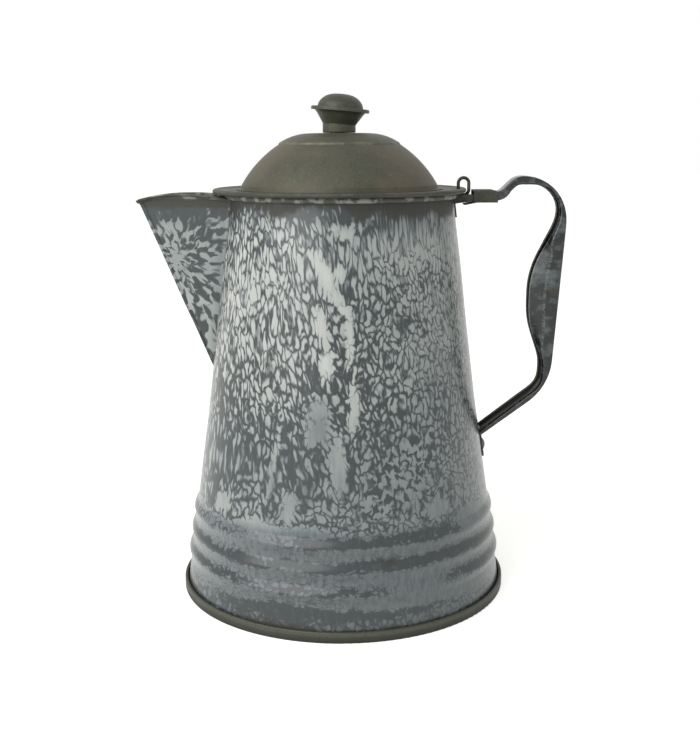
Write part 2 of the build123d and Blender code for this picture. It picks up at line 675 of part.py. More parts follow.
def make_knob_rivet():
    """Rivet through the stem's foot, the crown and the washer."""
    top_z = crown_top_z + wire_gap + tin_t + wire_gap
    low_z = crown_top_z - tin_t - washer_t - 2 * wire_gap
    shank = Pos(0, 0, (top_z + low_z) / 2) * Cylinder(knob_rivet_d / 2, top_z - low_z)
    head = turned_cap(knob_head_d / 2, knob_head_h, top_z)
    end = Pos(0, 0, low_z) * mirror(turned_cap(knob_head_d / 2.5, knob_head_h, 0), Plane.XY)
    return Pos(lid_x, 0, 0) * (shank + head + end)


def make_knob_washer():
    mid_z = crown_top_z - tin_t - wire_gap - washer_t / 2
    ring = Cylinder(washer_d / 2, washer_t) - Cylinder(knob_rivet_d / 2 + wire_gap, washer_t)
    return Pos(lid_x, 0, mid_z) * ring


nodes = {
    "body_shell": make_body_shell,
    "rim_wire": make_rim_wire,
    "bottom_pan": make_bottom_pan,
    "spout": make_spout,
    "spout_wire": make_spout_wire,
    "handle": make_handle,
    "handle_rivet": make_handle_rivet,
    "rivet_burr": make_rivet_burr,
    "handle_socket": make_handle_socket,
    "hinge_bracket": make_hinge_bracket,
    "hinge_link": make_hinge_link,
    "lid_flange": make_lid_flange,
    "lid_edge_wire": make_lid_edge_wire,
    "lid_collar": make_lid_collar,
    "lid_dome": make_lid_dome,
    "knob_spool": make_knob_spool,
    "knob_cap": make_knob_cap,
    "knob_rivet": make_knob_rivet,
    "knob_washer": make_knob_washer,
}

os.makedirs("parts", exist_ok=True)
for name, make in nodes.items():
    export_step(make(), "parts/" + name + ".step")
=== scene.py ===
import json
import math

import bpy
import numpy as np
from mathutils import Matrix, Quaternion

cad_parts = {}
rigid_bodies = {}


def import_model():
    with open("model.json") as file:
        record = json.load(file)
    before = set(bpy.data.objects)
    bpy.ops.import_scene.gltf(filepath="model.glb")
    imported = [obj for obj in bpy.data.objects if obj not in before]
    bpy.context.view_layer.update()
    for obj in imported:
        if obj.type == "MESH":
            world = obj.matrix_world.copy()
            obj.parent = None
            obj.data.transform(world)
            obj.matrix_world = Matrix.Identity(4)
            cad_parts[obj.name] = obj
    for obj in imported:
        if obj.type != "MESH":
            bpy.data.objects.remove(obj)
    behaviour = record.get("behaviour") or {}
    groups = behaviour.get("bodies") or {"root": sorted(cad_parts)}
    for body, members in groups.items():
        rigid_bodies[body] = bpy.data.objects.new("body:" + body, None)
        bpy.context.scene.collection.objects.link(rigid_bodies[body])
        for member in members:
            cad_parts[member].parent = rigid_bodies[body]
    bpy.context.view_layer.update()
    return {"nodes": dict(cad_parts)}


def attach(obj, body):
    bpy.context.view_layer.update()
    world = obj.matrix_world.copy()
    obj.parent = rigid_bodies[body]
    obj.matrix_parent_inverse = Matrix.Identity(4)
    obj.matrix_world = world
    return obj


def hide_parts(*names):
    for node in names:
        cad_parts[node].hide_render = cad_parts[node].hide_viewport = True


# Grey spotted enamel coffee pot with a tinned lid. Sizes below are in millimetres,
# as in the part's source, and become metres when a mesh is made.
MM = 0.001

for thing in list(bpy.data.objects):
    bpy.data.objects.remove(thing)
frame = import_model()
nodes = frame["nodes"]


# Sizes shared with the part's source: the wall, from the lip in the foot's seam to the
# rolled rim, and its raised beads
steel_t = 1.0
lip_top_z = 1.85
seam_z = 0.85
seam_top_z = 4.6
lip_r = 79.1
seam_wall_r = 78.3
skirt_slope = 0.1435
cone_slope = 0.120
waist_z = 102.0
waist_blend = 25.0
rim_z = 192.5
rim_wire_r = 0.65
bead_low_z = 16.1
bead_w = 8.8
bead_step = 10.5
bead_count = 3
bead_proud = 1.7

# The spout: root of its keel, tip, highest point and end of its lip; and its strainer
spout_root_z = 108.5
spout_tip_x = -97.4
spout_tip_z = 189.7
spout_top_x = -75.97
spout_top_z = 192.9
spout_end_z = 191.0
spout_half_w = 15.2
spout_belly = 1.8
spout_curl_r = 1.05
hole_d = 3.2
hole_start = 29.5
hole_rows = 6
hole_row_step = 8.0
hole_pitch = 5.5
hole_margin = 3.0

# The handle: its back from the sleeve over the arch and down to the wall, its widths
# and the tab that is riveted to the wall
handle_t = 0.9
strip_start_x = 63.4
arch_start_x = 75.5
arch_rise_x = 82.7
socket_top_z = 194.0
socket_low_z = 189.3
arch_z = 201.05
grip_x = 107.25
knee_x = 101.1
knee_z = 99.6
arm_end_z = 75.2
arch_half_w = 6.0
grip_half_w = 7.5
grip_gap = 3.25
tab_low_z = 63.6
tab_high_z = 78.0
tab_half_w = 6.5
seat_gap = 0.05

# How fine the meshes are, how the wall is unrolled for its enamel with its back and the
# spout's far side set apart, and the middle of the strokes on the spout
wall_columns = 300
lip_columns = 121
strip_spacing = 0.9
unroll_r = 66.0
back_shift = 900.0
side_shift = 60.0
stroke_x = -79.0
stroke_z = 163.0
bead_turn_z = 50.0

waist_r = seam_wall_r - skirt_slope * (waist_z - lip_top_z)
rim_wall_r = waist_r - cone_slope * (rim_z - waist_z)
rim_mid_r = rim_wall_r + rim_wire_r
rim_out = rim_wire_r + steel_t


# Shapes

def soft_step(value, low, high):
    """0 below low, 1 above high and 3t^2 - 2t^3 between them."""
    t = np.clip((value - low) / (high - low), 0.0, 1.0)
    return t * t * (3.0 - 2.0 * t)


def drift(around, up, cells_round, cells_high, seed):
    """Smooth random field from -1 to 1 on (turns, share of the height). Random values
    on a lattice that closes on itself round the pot, eased between neighbours."""
    lattice = np.random.default_rng(seed).uniform(-1, 1, (cells_round, cells_high + 2))
    u = (around % 1.0) * cells_round
    v = np.clip(up, 0, 1) * cells_high
    i = np.floor(u).astype(int)
    j = np.floor(v).astype(int)
    s = soft_step(u - i, 0, 1)
    t = soft_step(v - j, 0, 1)
    i0 = i % cells_round
    i1 = (i + 1) % cells_round
    low = lattice[i0, j] * (1 - s) + lattice[i1, j] * s
    high = lattice[i0, j + 1] * (1 - s) + lattice[i1, j + 1] * s
    return low * (1 - t) + high * t


def grid_faces(rows, columns, wrap_rows, wrap_columns):
    """Corner numbers of the quads between neighbours of a grid numbered row by row."""
    r = np.arange(rows if wrap_rows else rows - 1)[:, None]
    c = np.arange(columns if wrap_columns else columns - 1)[None, :]
    r1 = (r + 1) % rows
    c1 = (c + 1) % columns
    quads = [r * columns + c, r * columns + c1, r1 * columns + c1, r1 * columns + c]
    return np.stack(np.broadcast_arrays(*quads), axis=-1).reshape(-1, 4)


def make_piece(name, points, faces, body, sharp=40.0):
    """Object at the origin from points in millimetres, with sharp edges past an angle."""
    mesh = bpy.data.meshes.new(name)
    mesh.from_pydata((np.asarray(points).reshape(-1, 3) * MM).tolist(), [], faces.tolist())
    mesh.update()
    piece = bpy.data.objects.new(name, mesh)
    bpy.context.scene.collection.objects.link(piece)
    mesh.shade_smooth()
    mesh.set_sharp_from_angle(angle=math.radians(sharp))
    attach(piece, body)
    return piece


def turned(profile, columns):
    """Surface of revolution: point (r, z) of the profile at turn t lies at
    (r cos t, r sin t, z)."""
    t = np.linspace(0, 2 * np.pi, columns, endpoint=False)
    r = profile[:, 0][:, None]
    z = np.broadcast_to(profile[:, 1][:, None], (len(profile), columns))
    return np.stack([r * np.cos(t), r * np.sin(t), z], axis=-1)


def wall_radius(z):
    """Plain wall: two straight slopes, joined by a parabola round the waist."""
    below = waist_r + skirt_slope * (waist_z - z)
    above = waist_r - cone_slope * (z - waist_z)
    d = np.clip(z - waist_z, -waist_blend, waist_blend)
    bend = waist_r - (skirt_slope + cone_slope) / 2 * d
    bend = bend + (skirt_slope - cone_slope) * (d * d + waist_blend ** 2) / (4 * waist_blend)
    plain = np.where(z < waist_z - waist_blend, below, above)
    return np.where(np.abs(z - waist_z) < waist_blend, bend, plain)


def wall_at(z):
    """Radius of the plain wall at one height."""
    return float(wall_radius(np.array([z]))[0])


def bead_height(z):
    """Three raised beads, each a smooth hump (1 - t^2)^2 across its width."""
    total = np.zeros_like(z)
    for number in range(bead_count):
        mid = bead_low_z + bead_w / 2 + number * bead_step
        t = np.clip(np.abs(z - mid) / (bead_w / 2), 0, 1)
        total = total + bead_proud * (1 - t * t) ** 2
    return total


def body_profile():
    """Closed section of the wall: up the outside, round the rolled rim, down inside,
    and out under the lip."""
    beads = np.arange(lip_top_z, bead_turn_z, 0.8)
    cone = np.linspace(bead_turn_z, rim_z, 72)
    z_out = np.concatenate([beads, cone])
    out = np.stack([wall_radius(z_out) + bead_height(z_out), z_out], axis=1)
    turn = np.radians(np.linspace(180, -95, 22))[1:]
    roll = np.stack([rim_mid_r + rim_out * np.cos(turn), rim_z + rim_out * np.sin(turn)], axis=1)
    back = turn[::-1]
    tuck = np.stack([rim_mid_r + rim_wire_r * np.cos(back), rim_z + rim_wire_r * np.sin(back)], axis=1)
    z_in = np.concatenate([np.linspace(rim_z, 48.0, 40), np.arange(47.0, seam_z, -1.6), [seam_z]])
    inside = np.stack([wall_radius(z_in) - steel_t + bead_height(z_in), z_in], axis=1)
    lip = np.array([[lip_r, seam_z], [lip_r, lip_top_z]])
    return np.concatenate([out, roll, tuck[::2], inside, lip])


def cut_holes(piece, centres, radius, length):
    """Drills round holes level along X through the wall, all in one cut."""
    sides = 24
    t = np.linspace(0, 2 * np.pi, sides, endpoint=False)
    points = []
    faces = []
    for x, y, z in centres:
        base = len(points)
        for side in (-length / 2, length / 2):
            points += [(x + side, y + radius * math.cos(a), z + radius * math.sin(a)) for a in t]
        far = base + sides
        faces += [(base + i, base + (i + 1) % sides, far + (i + 1) % sides, far + i) for i in range(sides)]
        faces += [tuple(range(far - 1, base - 1, -1)), tuple(range(far, far + sides))]
    mesh = bpy.data.meshes.new("drill")
    mesh.from_pydata((np.array(points) * MM).tolist(), [], faces)
    drill = bpy.data.objects.new("drill", mesh)
    bpy.context.scene.collection.objects.link(drill)
    cut = piece.modifiers.new("strainer", "BOOLEAN")
    cut.operation = "DIFFERENCE"
    cut.solver = "EXACT"
    cut.object = drill
    graph = bpy.context.evaluated_depsgraph_get()
    done = bpy.data.meshes.new_from_object(piece.evaluated_get(graph))
    piece.modifiers.clear()
    old = piece.data
    piece.data = done
    bpy.data.meshes.remove(old)
    bpy.data.objects.remove(drill)


def strainer_places():
    """Centres of the strainer's holes, rows that widen with the spout behind them."""
    places = []
    for row in range(hole_rows):
        z = spout_root_z + hole_start + row * hole_row_step
        half_w = spout_half_w * (z - spout_root_z) / (spout_end_z - spout_root_z)
        count = int((2 * half_w - 2 * hole_margin) / hole_pitch) + 1
        places += [(-wall_at(z), (number - (count - 1) / 2) * hole_pitch, z) for number in range(count)]
    return places


def hollows(turn, z):
    """Hand-worked wall: shallow dents, up to about a fifth of a millimetre."""
    up = z / rim_z
    dents = 0.13 * drift(turn, up, 9, 6, 11) + 0.05 * drift(turn, up, 23, 14, 12)
    return dents * soft_step(z, 4, 20) * (1 - soft_step(z, 170, 186))


def bead_wobble(turn, z):
    """The beads run unevenly: their height over the wall changes round the pot."""
    return bead_height(z) * (0.10 * drift(turn, z / bead_turn_z, 14, 3, 13) - 0.08)


def make_body():
    """The wall: its section turned round the axis, dented, then drilled for the spout."""
    profile = body_profile()
    points = turned(profile, wall_columns)
    turn = np.arctan2(points[..., 1], points[..., 0]) / (2 * np.pi)
    r = np.hypot(points[..., 0], points[..., 1])
    shift = hollows(turn, points[..., 2]) + bead_wobble(turn, points[..., 2])
    points[..., :2] *= ((r + shift) / r)[..., None]
    faces = grid_faces(len(profile), wall_columns, True, True)
    piece = make_piece("body_shell_enamel", points, faces, "pot")
    cut_holes(piece, strainer_places(), hole_d / 2, 12.0)
    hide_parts("body_shell")
    return piece


def rounded_path(corners, radii, spacing):
    """Straight runs joined by arcs that touch both, as points a given distance apart.
    An arc of radius r turns off each run r tan(half the turn) before the corner."""
    corners = np.array(corners, float)
    run = np.diff(corners, axis=0)
    run /= np.linalg.norm(run, axis=1)[:, None]
    pieces = [corners[:1]]
    for k, radius in enumerate(radii):
        turn = math.acos(float(np.clip(run[k] @ run[k + 1], -1, 1)))
        side = np.sign(run[k][0] * run[k + 1][1] - run[k][1] * run[k + 1][0])
        start = corners[k + 1] - run[k] * radius * math.tan(turn / 2)
        middle = start + side * radius * np.array([-run[k][1], run[k][0]])
        a = np.linspace(0, turn, 14) * side
        out = start - middle
        pieces.append(np.stack([middle[0] + out[0] * np.cos(a) - out[1] * np.sin(a),
                                middle[1] + out[0] * np.sin(a) + out[1] * np.cos(a)], axis=1))
    pieces.append(corners[-1:])
    line = np.concatenate(pieces)
    along = np.concatenate([[0], np.cumsum(np.linalg.norm(np.diff(line, axis=0), axis=1))])
    even = np.linspace(0, along[-1], int(along[-1] / spacing) + 1)
    return np.stack([np.interp(even, along, line[:, 0]), np.interp(even, along, line[:, 1])], axis=1)


def smoothed(values, reach):
    """Running mean over reach neighbours each way, ends held."""
    padded = np.concatenate([np.full(reach, values[0]), values, np.full(reach, values[-1])])
    return np.convolve(padded, np.full(2 * reach + 1, 1 / (2 * reach + 1)), mode="valid")


def bent_corner(before, corner, after, reach, count=6):
    """Points of a quadratic curve that rounds a corner, reach long on each side, for
    every station at once."""
    def towards(point):
        step = point - corner
        size = np.linalg.norm(step, axis=1)[:, None]
        return corner + step * np.minimum(reach[:, None], 0.48 * size) / size
    first = towards(before)[:, None, :]
    last = towards(after)[:, None, :]
    t = np.linspace(0, 1, count)[None, :, None]
    return (1 - t) ** 2 * first + 2 * t * (1 - t) * corner[:, None, :] + t * t * last


def make_handle():
    """Folded strip: at each station of its back a C-shaped section lies across, its
    depth taken from the line of the free edges, its sides bent in at a soft ridge."""
    back = rounded_path([(strip_start_x, socket_top_z), (arch_start_x, socket_top_z), (arch_rise_x, arch_z),
                         (grip_x + 1.1, arch_z), (knee_x, knee_z), (wall_at(arm_end_z) + 0.3, arm_end_z)],
                        [3.4, 9.0, 20.5, 28.0], strip_spacing)
    under_z = arch_z - 4.1
    edge = rounded_path([(strip_start_x, socket_low_z), (arch_start_x + 0.5, socket_low_z),
                         (arch_rise_x + 0.4, under_z), (grip_x - 3.6, under_z), (grip_x - 3.9, rim_z - 13.0),
                         (grip_x - 17.1, rim_z - 37.0), (grip_x - 17.1, rim_z - 61.0),
                         (knee_x - 4.1, knee_z + 12.9), (knee_x - 4.4, knee_z + 0.9),
                         (wall_at(77.0) - 0.6, 77.0)],
                        [2.0, 4.8, 12.5, 20.0, 42.0, 40.0, 14.0, 9.0], 0.3)
    along = np.gradient(back, axis=0)
    along /= np.linalg.norm(along, axis=1)[:, None]
    inward = np.stack([along[:, 1], -along[:, 0]], axis=1)
    apart = edge[None, :, :] - back[:, None, :]
    off = np.abs((apart * along[:, None, :]).sum(-1))
    deep = (apart * inward[:, None, :]).sum(-1)
    off = np.where((deep < 1.0) | (deep > 22.0), 1e3, off)
    pick = off.argmin(axis=1)
    depth = smoothed(deep[np.arange(len(back)), pick], 3)
    grip = soft_step(depth, 5.0, 12.0)
    z = back[:, 1]
    half_w = arch_half_w + (grip_half_w - arch_half_w) * (1 - soft_step(z, 173.0, 189.0))
    gap = half_w - 1.3 - (half_w - 1.3 - grip_gap - 0.9) * grip
    ridge = depth - 0.9 - (0.50 * depth - 0.9) * grip
    zero = np.zeros_like(depth)

    def at(y, d):
        return np.stack([y + zero, d + zero], axis=1)

    # half the section: free edge, soft ridge on the side, corner at the back
    tip, side, base = at(-gap, depth), at(-half_w, ridge), at(-half_w, zero)
    near = np.array([0.0, 0.05, 0.14])[None, :, None]
    half = np.concatenate([tip[:, None] + (side - tip)[:, None] * near,
                           bent_corner(tip, side, base, zero + 0.5 + 2.2 * grip),
                           bent_corner(side, base, at(half_w, zero), zero + 1.0)], axis=1)
    outer = np.concatenate([half, half[:, ::-1] * [-1.0, 1.0]], axis=1)
    turn = np.gradient(outer, axis=1)
    turn /= np.linalg.norm(turn, axis=2)[..., None] + 1e-9
    inner = outer + handle_t * np.stack([-turn[..., 1], turn[..., 0]], axis=2)
    section = np.concatenate([outer, inner[:, ::-1]], axis=1)
    x = back[:, 0][:, None] + inward[:, 0][:, None] * section[..., 1]
    height = back[:, 1][:, None] + inward[:, 1][:, None] * section[..., 1]
    points = np.stack([x, section[..., 0], height], axis=-1)
    strip = grid_faces(len(back), section.shape[1], False, True)
    plate, plate_faces = handle_tab()
    faces = np.concatenate([strip, plate_faces + points[..., 0].size])
    points = np.concatenate([points.reshape(-1, 3), plate])
    piece = make_piece("handle_strip", points, faces, "pot", 60.0)
    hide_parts("handle")
    run = np.arange(len(back)) * strip_spacing
    girth = np.cumsum(np.linalg.norm(np.diff(outer, axis=1, prepend=outer[:, :1]), axis=2), axis=1)
    girth -= girth[:, -1:] / 2
    both = np.concatenate([girth, girth[:, ::-1]], axis=1)
    on_strip = np.stack([both, np.broadcast_to(run[:, None], both.shape)], axis=-1).reshape(-1, 2)
    on_plate = np.stack([plate[:, 1], run[-1] + tab_high_z - plate[:, 2]], axis=1)
    places = np.concatenate([on_strip, on_plate])
    keep_field(piece, "run", np.concatenate([places, np.zeros((len(places), 1))], axis=1))
    column = np.arange(outer.shape[1])
    # painted highlight: besides the worn free edges (brim), columns 5.5 and 23.5 are the soft ridges of the
    # sides, marked to be painted pale as a highlight
    wear_and_ridge_sheen = 1.35 * np.exp(-((column - 5.5) / 0.7) ** 2) + 1.35 * np.exp(-((column - 23.5) / 0.7) ** 2)
    brim = np.where((column < 2) | (column > 27), 1.0, 0.0)
    bare = np.zeros(len(plate))
    wear_and_ridge_sheen = np.append(np.tile(np.concatenate([wear_and_ridge_sheen + brim, brim]), len(back)), bare)
    # painted shade: the inner skin, inside the channel, is marked to be painted dark and brown as shade
    channel_shade = np.append(np.tile(np.repeat([0.0, 1.0], len(column)), len(back)), bare)
    keep_field(piece, "coat", handle_coat(points, wear_and_ridge_sheen, channel_shade))
    return piece


def handle_coat(points, wear_and_ridge_sheen, channel_shade):
    """Handle's enamel: pale across bands at three heights of the grip, worn edges, a painted
    highlight along the soft ridge of each side, and a brown stain half way down. Inside the
    channel it is painted dark and brown as shade, and along the arms it is dark."""
    x = points[:, 0]
    z = points[:, 2]
    across = 1.2 * drift(x / 40.0, z / 200.0, 9, 16, 71)
    pale = np.zeros_like(z)
    for height, half in ((178.0, 2.6), (153.0, 4.2), (116.5, 2.2)):
        pale = pale + np.exp(-((z - height + across) / half) ** 2)
    # painted shade: less pale and more brown on the inner skin inside the channel
    pale = pale - 0.1 * (1 - soft_step(z, 98, 108)) - 0.9 * channel_shade
    brown = np.exp(-((z - 146.5) / 4.0) ** 2 - ((x - 102.0) / 3.0) ** 2) + 0.6 * channel_shade
    brown = brown + 0.40 * (1 - soft_step(z, 92, 104))
    return np.stack([pale, 0.85 * wear_and_ridge_sheen, brown], axis=1)


def handle_tab():
    """Plate bent to the wall: rings of a rounded rectangle from its middle outwards,
    out and back, with the wall's own curve under each point."""
    a = np.linspace(0, 2 * np.pi, 48, endpoint=False)
    round_x = np.sign(np.cos(a)) * np.abs(np.cos(a)) ** 0.42
    round_y = np.sign(np.sin(a)) * np.abs(np.sin(a)) ** 0.42
    ring = np.array([0.02, 0.35, 0.7, 0.92, 0.985, 1.0, 1.0, 0.985, 0.92, 0.5, 0.02])
    raise_by = np.array([1.0, 1.0, 1.0, 1.0, 0.9, 0.6, 0.3, 0.0, 0.0, 0.0, 0.0]) * handle_t
    y = ring[:, None] * round_x * tab_half_w
    z = (tab_low_z + tab_high_z) / 2 + ring[:, None] * round_y * (tab_high_z - tab_low_z) / 2
    r = wall_radius(z) + seat_gap + raise_by[:, None]
    x = np.sqrt(r * r - y * y)
    return np.stack([x, y, z], axis=-1).reshape(-1, 3), grid_faces(len(ring), len(a), True, True)


def lip_edge(count):
    """The lip's edge from its -Y end on the rim round the tip to the +Y end. In plan
    each half bows out by sin(pi t) from a straight line, and the height falls off
    from its top with the square of the distance."""
    t = np.linspace(-1, 1, count)
    t = np.sign(t) * np.abs(t) ** 0.85
    end_x = -math.sqrt(rim_wall_r ** 2 - spout_half_w ** 2)
    a = np.abs(t)
    x = spout_tip_x + (end_x - spout_tip_x) * a
    y = spout_half_w * a + spout_belly * np.sin(np.pi * a)
    nose = 0.9
    y = np.sign(t) * (np.sqrt(y * y + nose * nose) - nose)
    x = x + nose * np.exp(-(np.abs(y) / 1.6) ** 2) * 0.5
    past = x < spout_top_x
    fall = np.where(past, spout_top_z - spout_tip_z, spout_top_z - spout_end_z)
    length = np.where(past, spout_tip_x - spout_top_x, -rim_wall_r - spout_top_x)
    return np.stack([x, y, spout_top_z - fall * ((x - spout_top_x) / length) ** 2], axis=1)


def seat_on_wall(points, depth):
    """Moves points level along X on to the wall's surface, depth below its skin."""
    r = wall_radius(points[..., 2]) - depth
    moved = points.copy()
    moved[..., 0] = -np.sqrt(r * r - points[..., 1] ** 2)
    return moved


def make_spout():
    """Lip of bent sheet: straight lines from the root to each point of the lip's edge,
    an outer and an inner skin, joined at the edge, with a soft fillet on the wall."""
    edge = lip_edge(lip_columns)
    root = np.array([-wall_at(spout_root_z), 0.0, spout_root_z])
    v = (np.linspace(0.0, 1.0, 70) ** 0.9)[:, None, None]
    v = 0.004 + 0.996 * v
    skin = root + (edge - root)[None] * v
    skin[..., 2] -= 0.8 * soft_step(v[..., 0], 0.97, 1.0)
    sideways, down = np.broadcast_arrays((edge[:, 1] / 60.0 + 0.5)[None, :], v[..., 0])
    dents = 0.22 * drift(sideways, down, 9, 5, 41)
    normal = np.cross(np.gradient(skin, axis=0), np.gradient(skin, axis=1))
    normal /= np.linalg.norm(normal, axis=2)[..., None] + 1e-9
    wide = v[..., 0] * spout_half_w
    ends = soft_step(1 - np.abs(np.linspace(-1, 1, lip_columns)), 0.02, 0.12)[None, :]
    out = skin + normal * (dents * ends * soft_step(wide, 1, 6))[..., None]
    inner = out - normal * np.minimum(steel_t, 0.45 * wide + 0.1)[..., None]
    # each side in turn: the outer skin flares on to the wall, the inner one sinks into it
    spread = np.minimum(1.6, 0.12 * wide + 0.15)
    t = np.linspace(0, 1, 7)[None, :, None]
    for side in (-1, 1):
        flare = out[:, :1].copy()
        flare[..., 1] += side * spread
        fillet = (1 - t) ** 2 * seat_on_wall(flare, -0.03) + t * t * out[:, 3:4]
        fillet = fillet + 2 * t * (1 - t) * seat_on_wall(out[:, :1], -0.02)
        pad = inner[:, 3:4] + (seat_on_wall(inner[:, :1], 0.3) - inner[:, 3:4]) * (1 - t)
        out = np.concatenate([fillet, out[:, 4:]], axis=1)[:, ::-1]
        inner = np.concatenate([pad, inner[:, 4:]], axis=1)[:, ::-1]
    points = np.concatenate([out, inner[::-1]], axis=0)
    rows, columns = points.shape[:2]
    tube, tube_faces = lip_roll(edge)
    faces = np.concatenate([grid_faces(rows, columns, True, False), tube_faces + rows * columns])
    points = np.concatenate([points.reshape(-1, 3), tube])
    piece = make_piece("spout_lip", points, faces, "pot", 50.0)
    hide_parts("spout")
    return piece


def lip_roll(edge):
    """Sheet rolled round the lip's wire: a ring of 14 points carried along the edge."""
    path = edge.copy()
    path[:, 1] = np.sign(path[:, 1]) * np.maximum(np.abs(path[:, 1]) - 0.35, 0)
    path[:, 2] -= 0.4
    path[:, 0] -= 0.55 * np.exp(-(path[:, 1] / 3.0) ** 2)
    along = np.gradient(path, axis=0)
    along /= np.linalg.norm(along, axis=1)[:, None]
    side = np.cross(along, [0, 0, 1])
    side /= np.linalg.norm(side, axis=1)[:, None]
    up = np.cross(side, along)
    a = np.linspace(0, 2 * np.pi, 14, endpoint=False)[None, :, None]
    ring = path[:, None] + spout_curl_r * (np.cos(a) * side[:, None] + np.sin(a) * up[:, None])
    return ring.reshape(-1, 3), grid_faces(len(edge), a.size, False, True)


# Enamel fields, kept as attributes on the enamelled pieces

def read_points(piece):
    """Points of a mesh in millimetres, one row each."""
    flat = np.zeros(len(piece.data.vertices) * 3)
    piece.data.vertices.foreach_get("co", flat)
    return flat.reshape(-1, 3) / MM


def keep_field(piece, name, values):
    """Stores one number or one vector a point on the mesh, for the material to read."""
    kind = "FLOAT" if values.ndim == 1 else "FLOAT_VECTOR"
    field = piece.data.attributes.new(name, kind, "POINT")
    field.data.foreach_set("value" if values.ndim == 1 else "vector", values.astype(np.float32).ravel())


def pool(front, z, degrees, height, half_w, half_h, lean):
    """1 in the middle of an upright oval on the wall, falling off as exp(-d), where d is
    1 on its outline and grows with the square of the distance. Leans with the height."""
    side = np.radians(degrees) - lean * (height - z) / 70.0
    away = np.angle(np.exp(1j * (front - side)))
    d = (away * wall_radius(z) / half_w) ** 2 + ((z - height) / half_h) ** 2
    return np.exp(-d)


# Runs and pools of the pale coat near the front, pools where it is thin and blue, spots
# where it is missing and brown stains. Each is degrees from the front towards the
# handle, height, half width, half height and lean.
pale_runs = [(-3.0, 180, 2.0, 2.4, 0.0), (0.8, 177, 2.5, 2.9, 0.0), (4.4, 177.5, 2.3, 3.3, 0.0),
             (5.2, 183, 1.8, 4.6, 0.0), (9.2, 181.5, 2.8, 2.6, -0.4), (13.5, 184.5, 2.2, 2.4, -0.4),
             (-6.8, 160.5, 3.0, 10.1, -0.45), (-0.3, 162, 2.5, 4.8, 0.0), (0.8, 147, 2.2, 6.9, -0.8),
             (3.7, 132, 1.8, 13.8, 0.0), (-8.0, 138, 2.7, 8.3, -0.3), (-6.0, 121, 4.1, 7.8, 0.0),
             (4.5, 103, 3.6, 11.0, 0.0), (-1.5, 77, 3.3, 15.6, 0.0), (24, 66, 7.0, 6.4, -0.3),
             (31, 78, 4.7, 4.6, -0.5), (38, 55, 7.2, 4.5, 0.0), (-27, 75, 1.7, 17.5, 0.2),
             (-20, 59, 4.5, 8.5, 0.1), (-30, 47, 15.3, 2.2, 0.0), (-52, 54, 5.4, 3.0, 0.0)]
blue_pools = [(-9.5, 95, 6.0, 13.0, 0.0), (-14, 46, 11.0, 4.0, 0.0), (55, 46, 12.0, 4.0, 0.0)]
dark_spots = [(1.2, 184.5, 2.2, 3.6, 0.0), (3.0, 101, 1.5, 4.5, 0.0), (3.2, 76, 1.6, 6.0, 0.0),
              (-9.0, 82, 1.8, 5.0, 0.2)]
brown_runs = [(-25.5, 70, 1.5, 17.0, 0.15), (0.8, 128, 1.3, 9.0, 0.0), (-32, 120, 3.0, 9.0, 0.2),
              (16, 35, 5.0, 2.2, 0.0)]


def highest(places, front, z):
    """The largest of several pools at each point."""
    return np.max([pool(front, z, *place) for place in places], axis=0)


def chance_runs(count, seed):
    """Runs on the side that the photograph hides, like the ones in front."""
    chance = np.random.default_rng(seed)
    degrees = chance.uniform(85, 275, count)
    height = chance.uniform(48, 182, count)
    half_w = chance.uniform(1.8, 6.5, count)
    half_h = half_w * chance.uniform(1.2, 4.0, count)
    lean = chance.uniform(-0.3, 0.3, count)
    return np.stack([degrees, height, half_w, half_h, lean], axis=1)


def wall_flow(front, z):
    """Place on the wall unrolled from the front, the same unrolled from the back, and
    the height, stretched so that cells are long near the rim and flat over the beads."""
    turn = front / (2 * np.pi)
    up = z / rim_z
    sway = 0.0010 * drift(turn, up, 5, 3, 21) * np.clip(185.0 - z, 0, 80)
    levels = np.linspace(0, 200, 401)
    pace = 0.60 + 0.75 * (1 - soft_step(levels, 40, 56)) - 0.28 * soft_step(levels, 140, 184)
    pace = pace - 0.60 * (1 - soft_step(levels, 8, 15))
    run = np.concatenate([[0], np.cumsum((pace[1:] + pace[:-1]) / 2 * 0.5)])
    height = np.interp(z, levels, run)
    wave = 2.5 * drift(turn, up, 12, 9, 22)
    tilt = np.where(front < 0, 0.36, 0.14) * np.sin(front)
    slant = height + wave + tilt * np.clip(height - 30, 0, 90)
    shift = sway - 0.12 * np.cos(front)
    ahead = unroll_r * (front + shift)
    behind = back_shift + unroll_r * (np.where(front < 0, front + 2 * np.pi, front) + shift)
    return np.stack([ahead, behind, slant], axis=1)


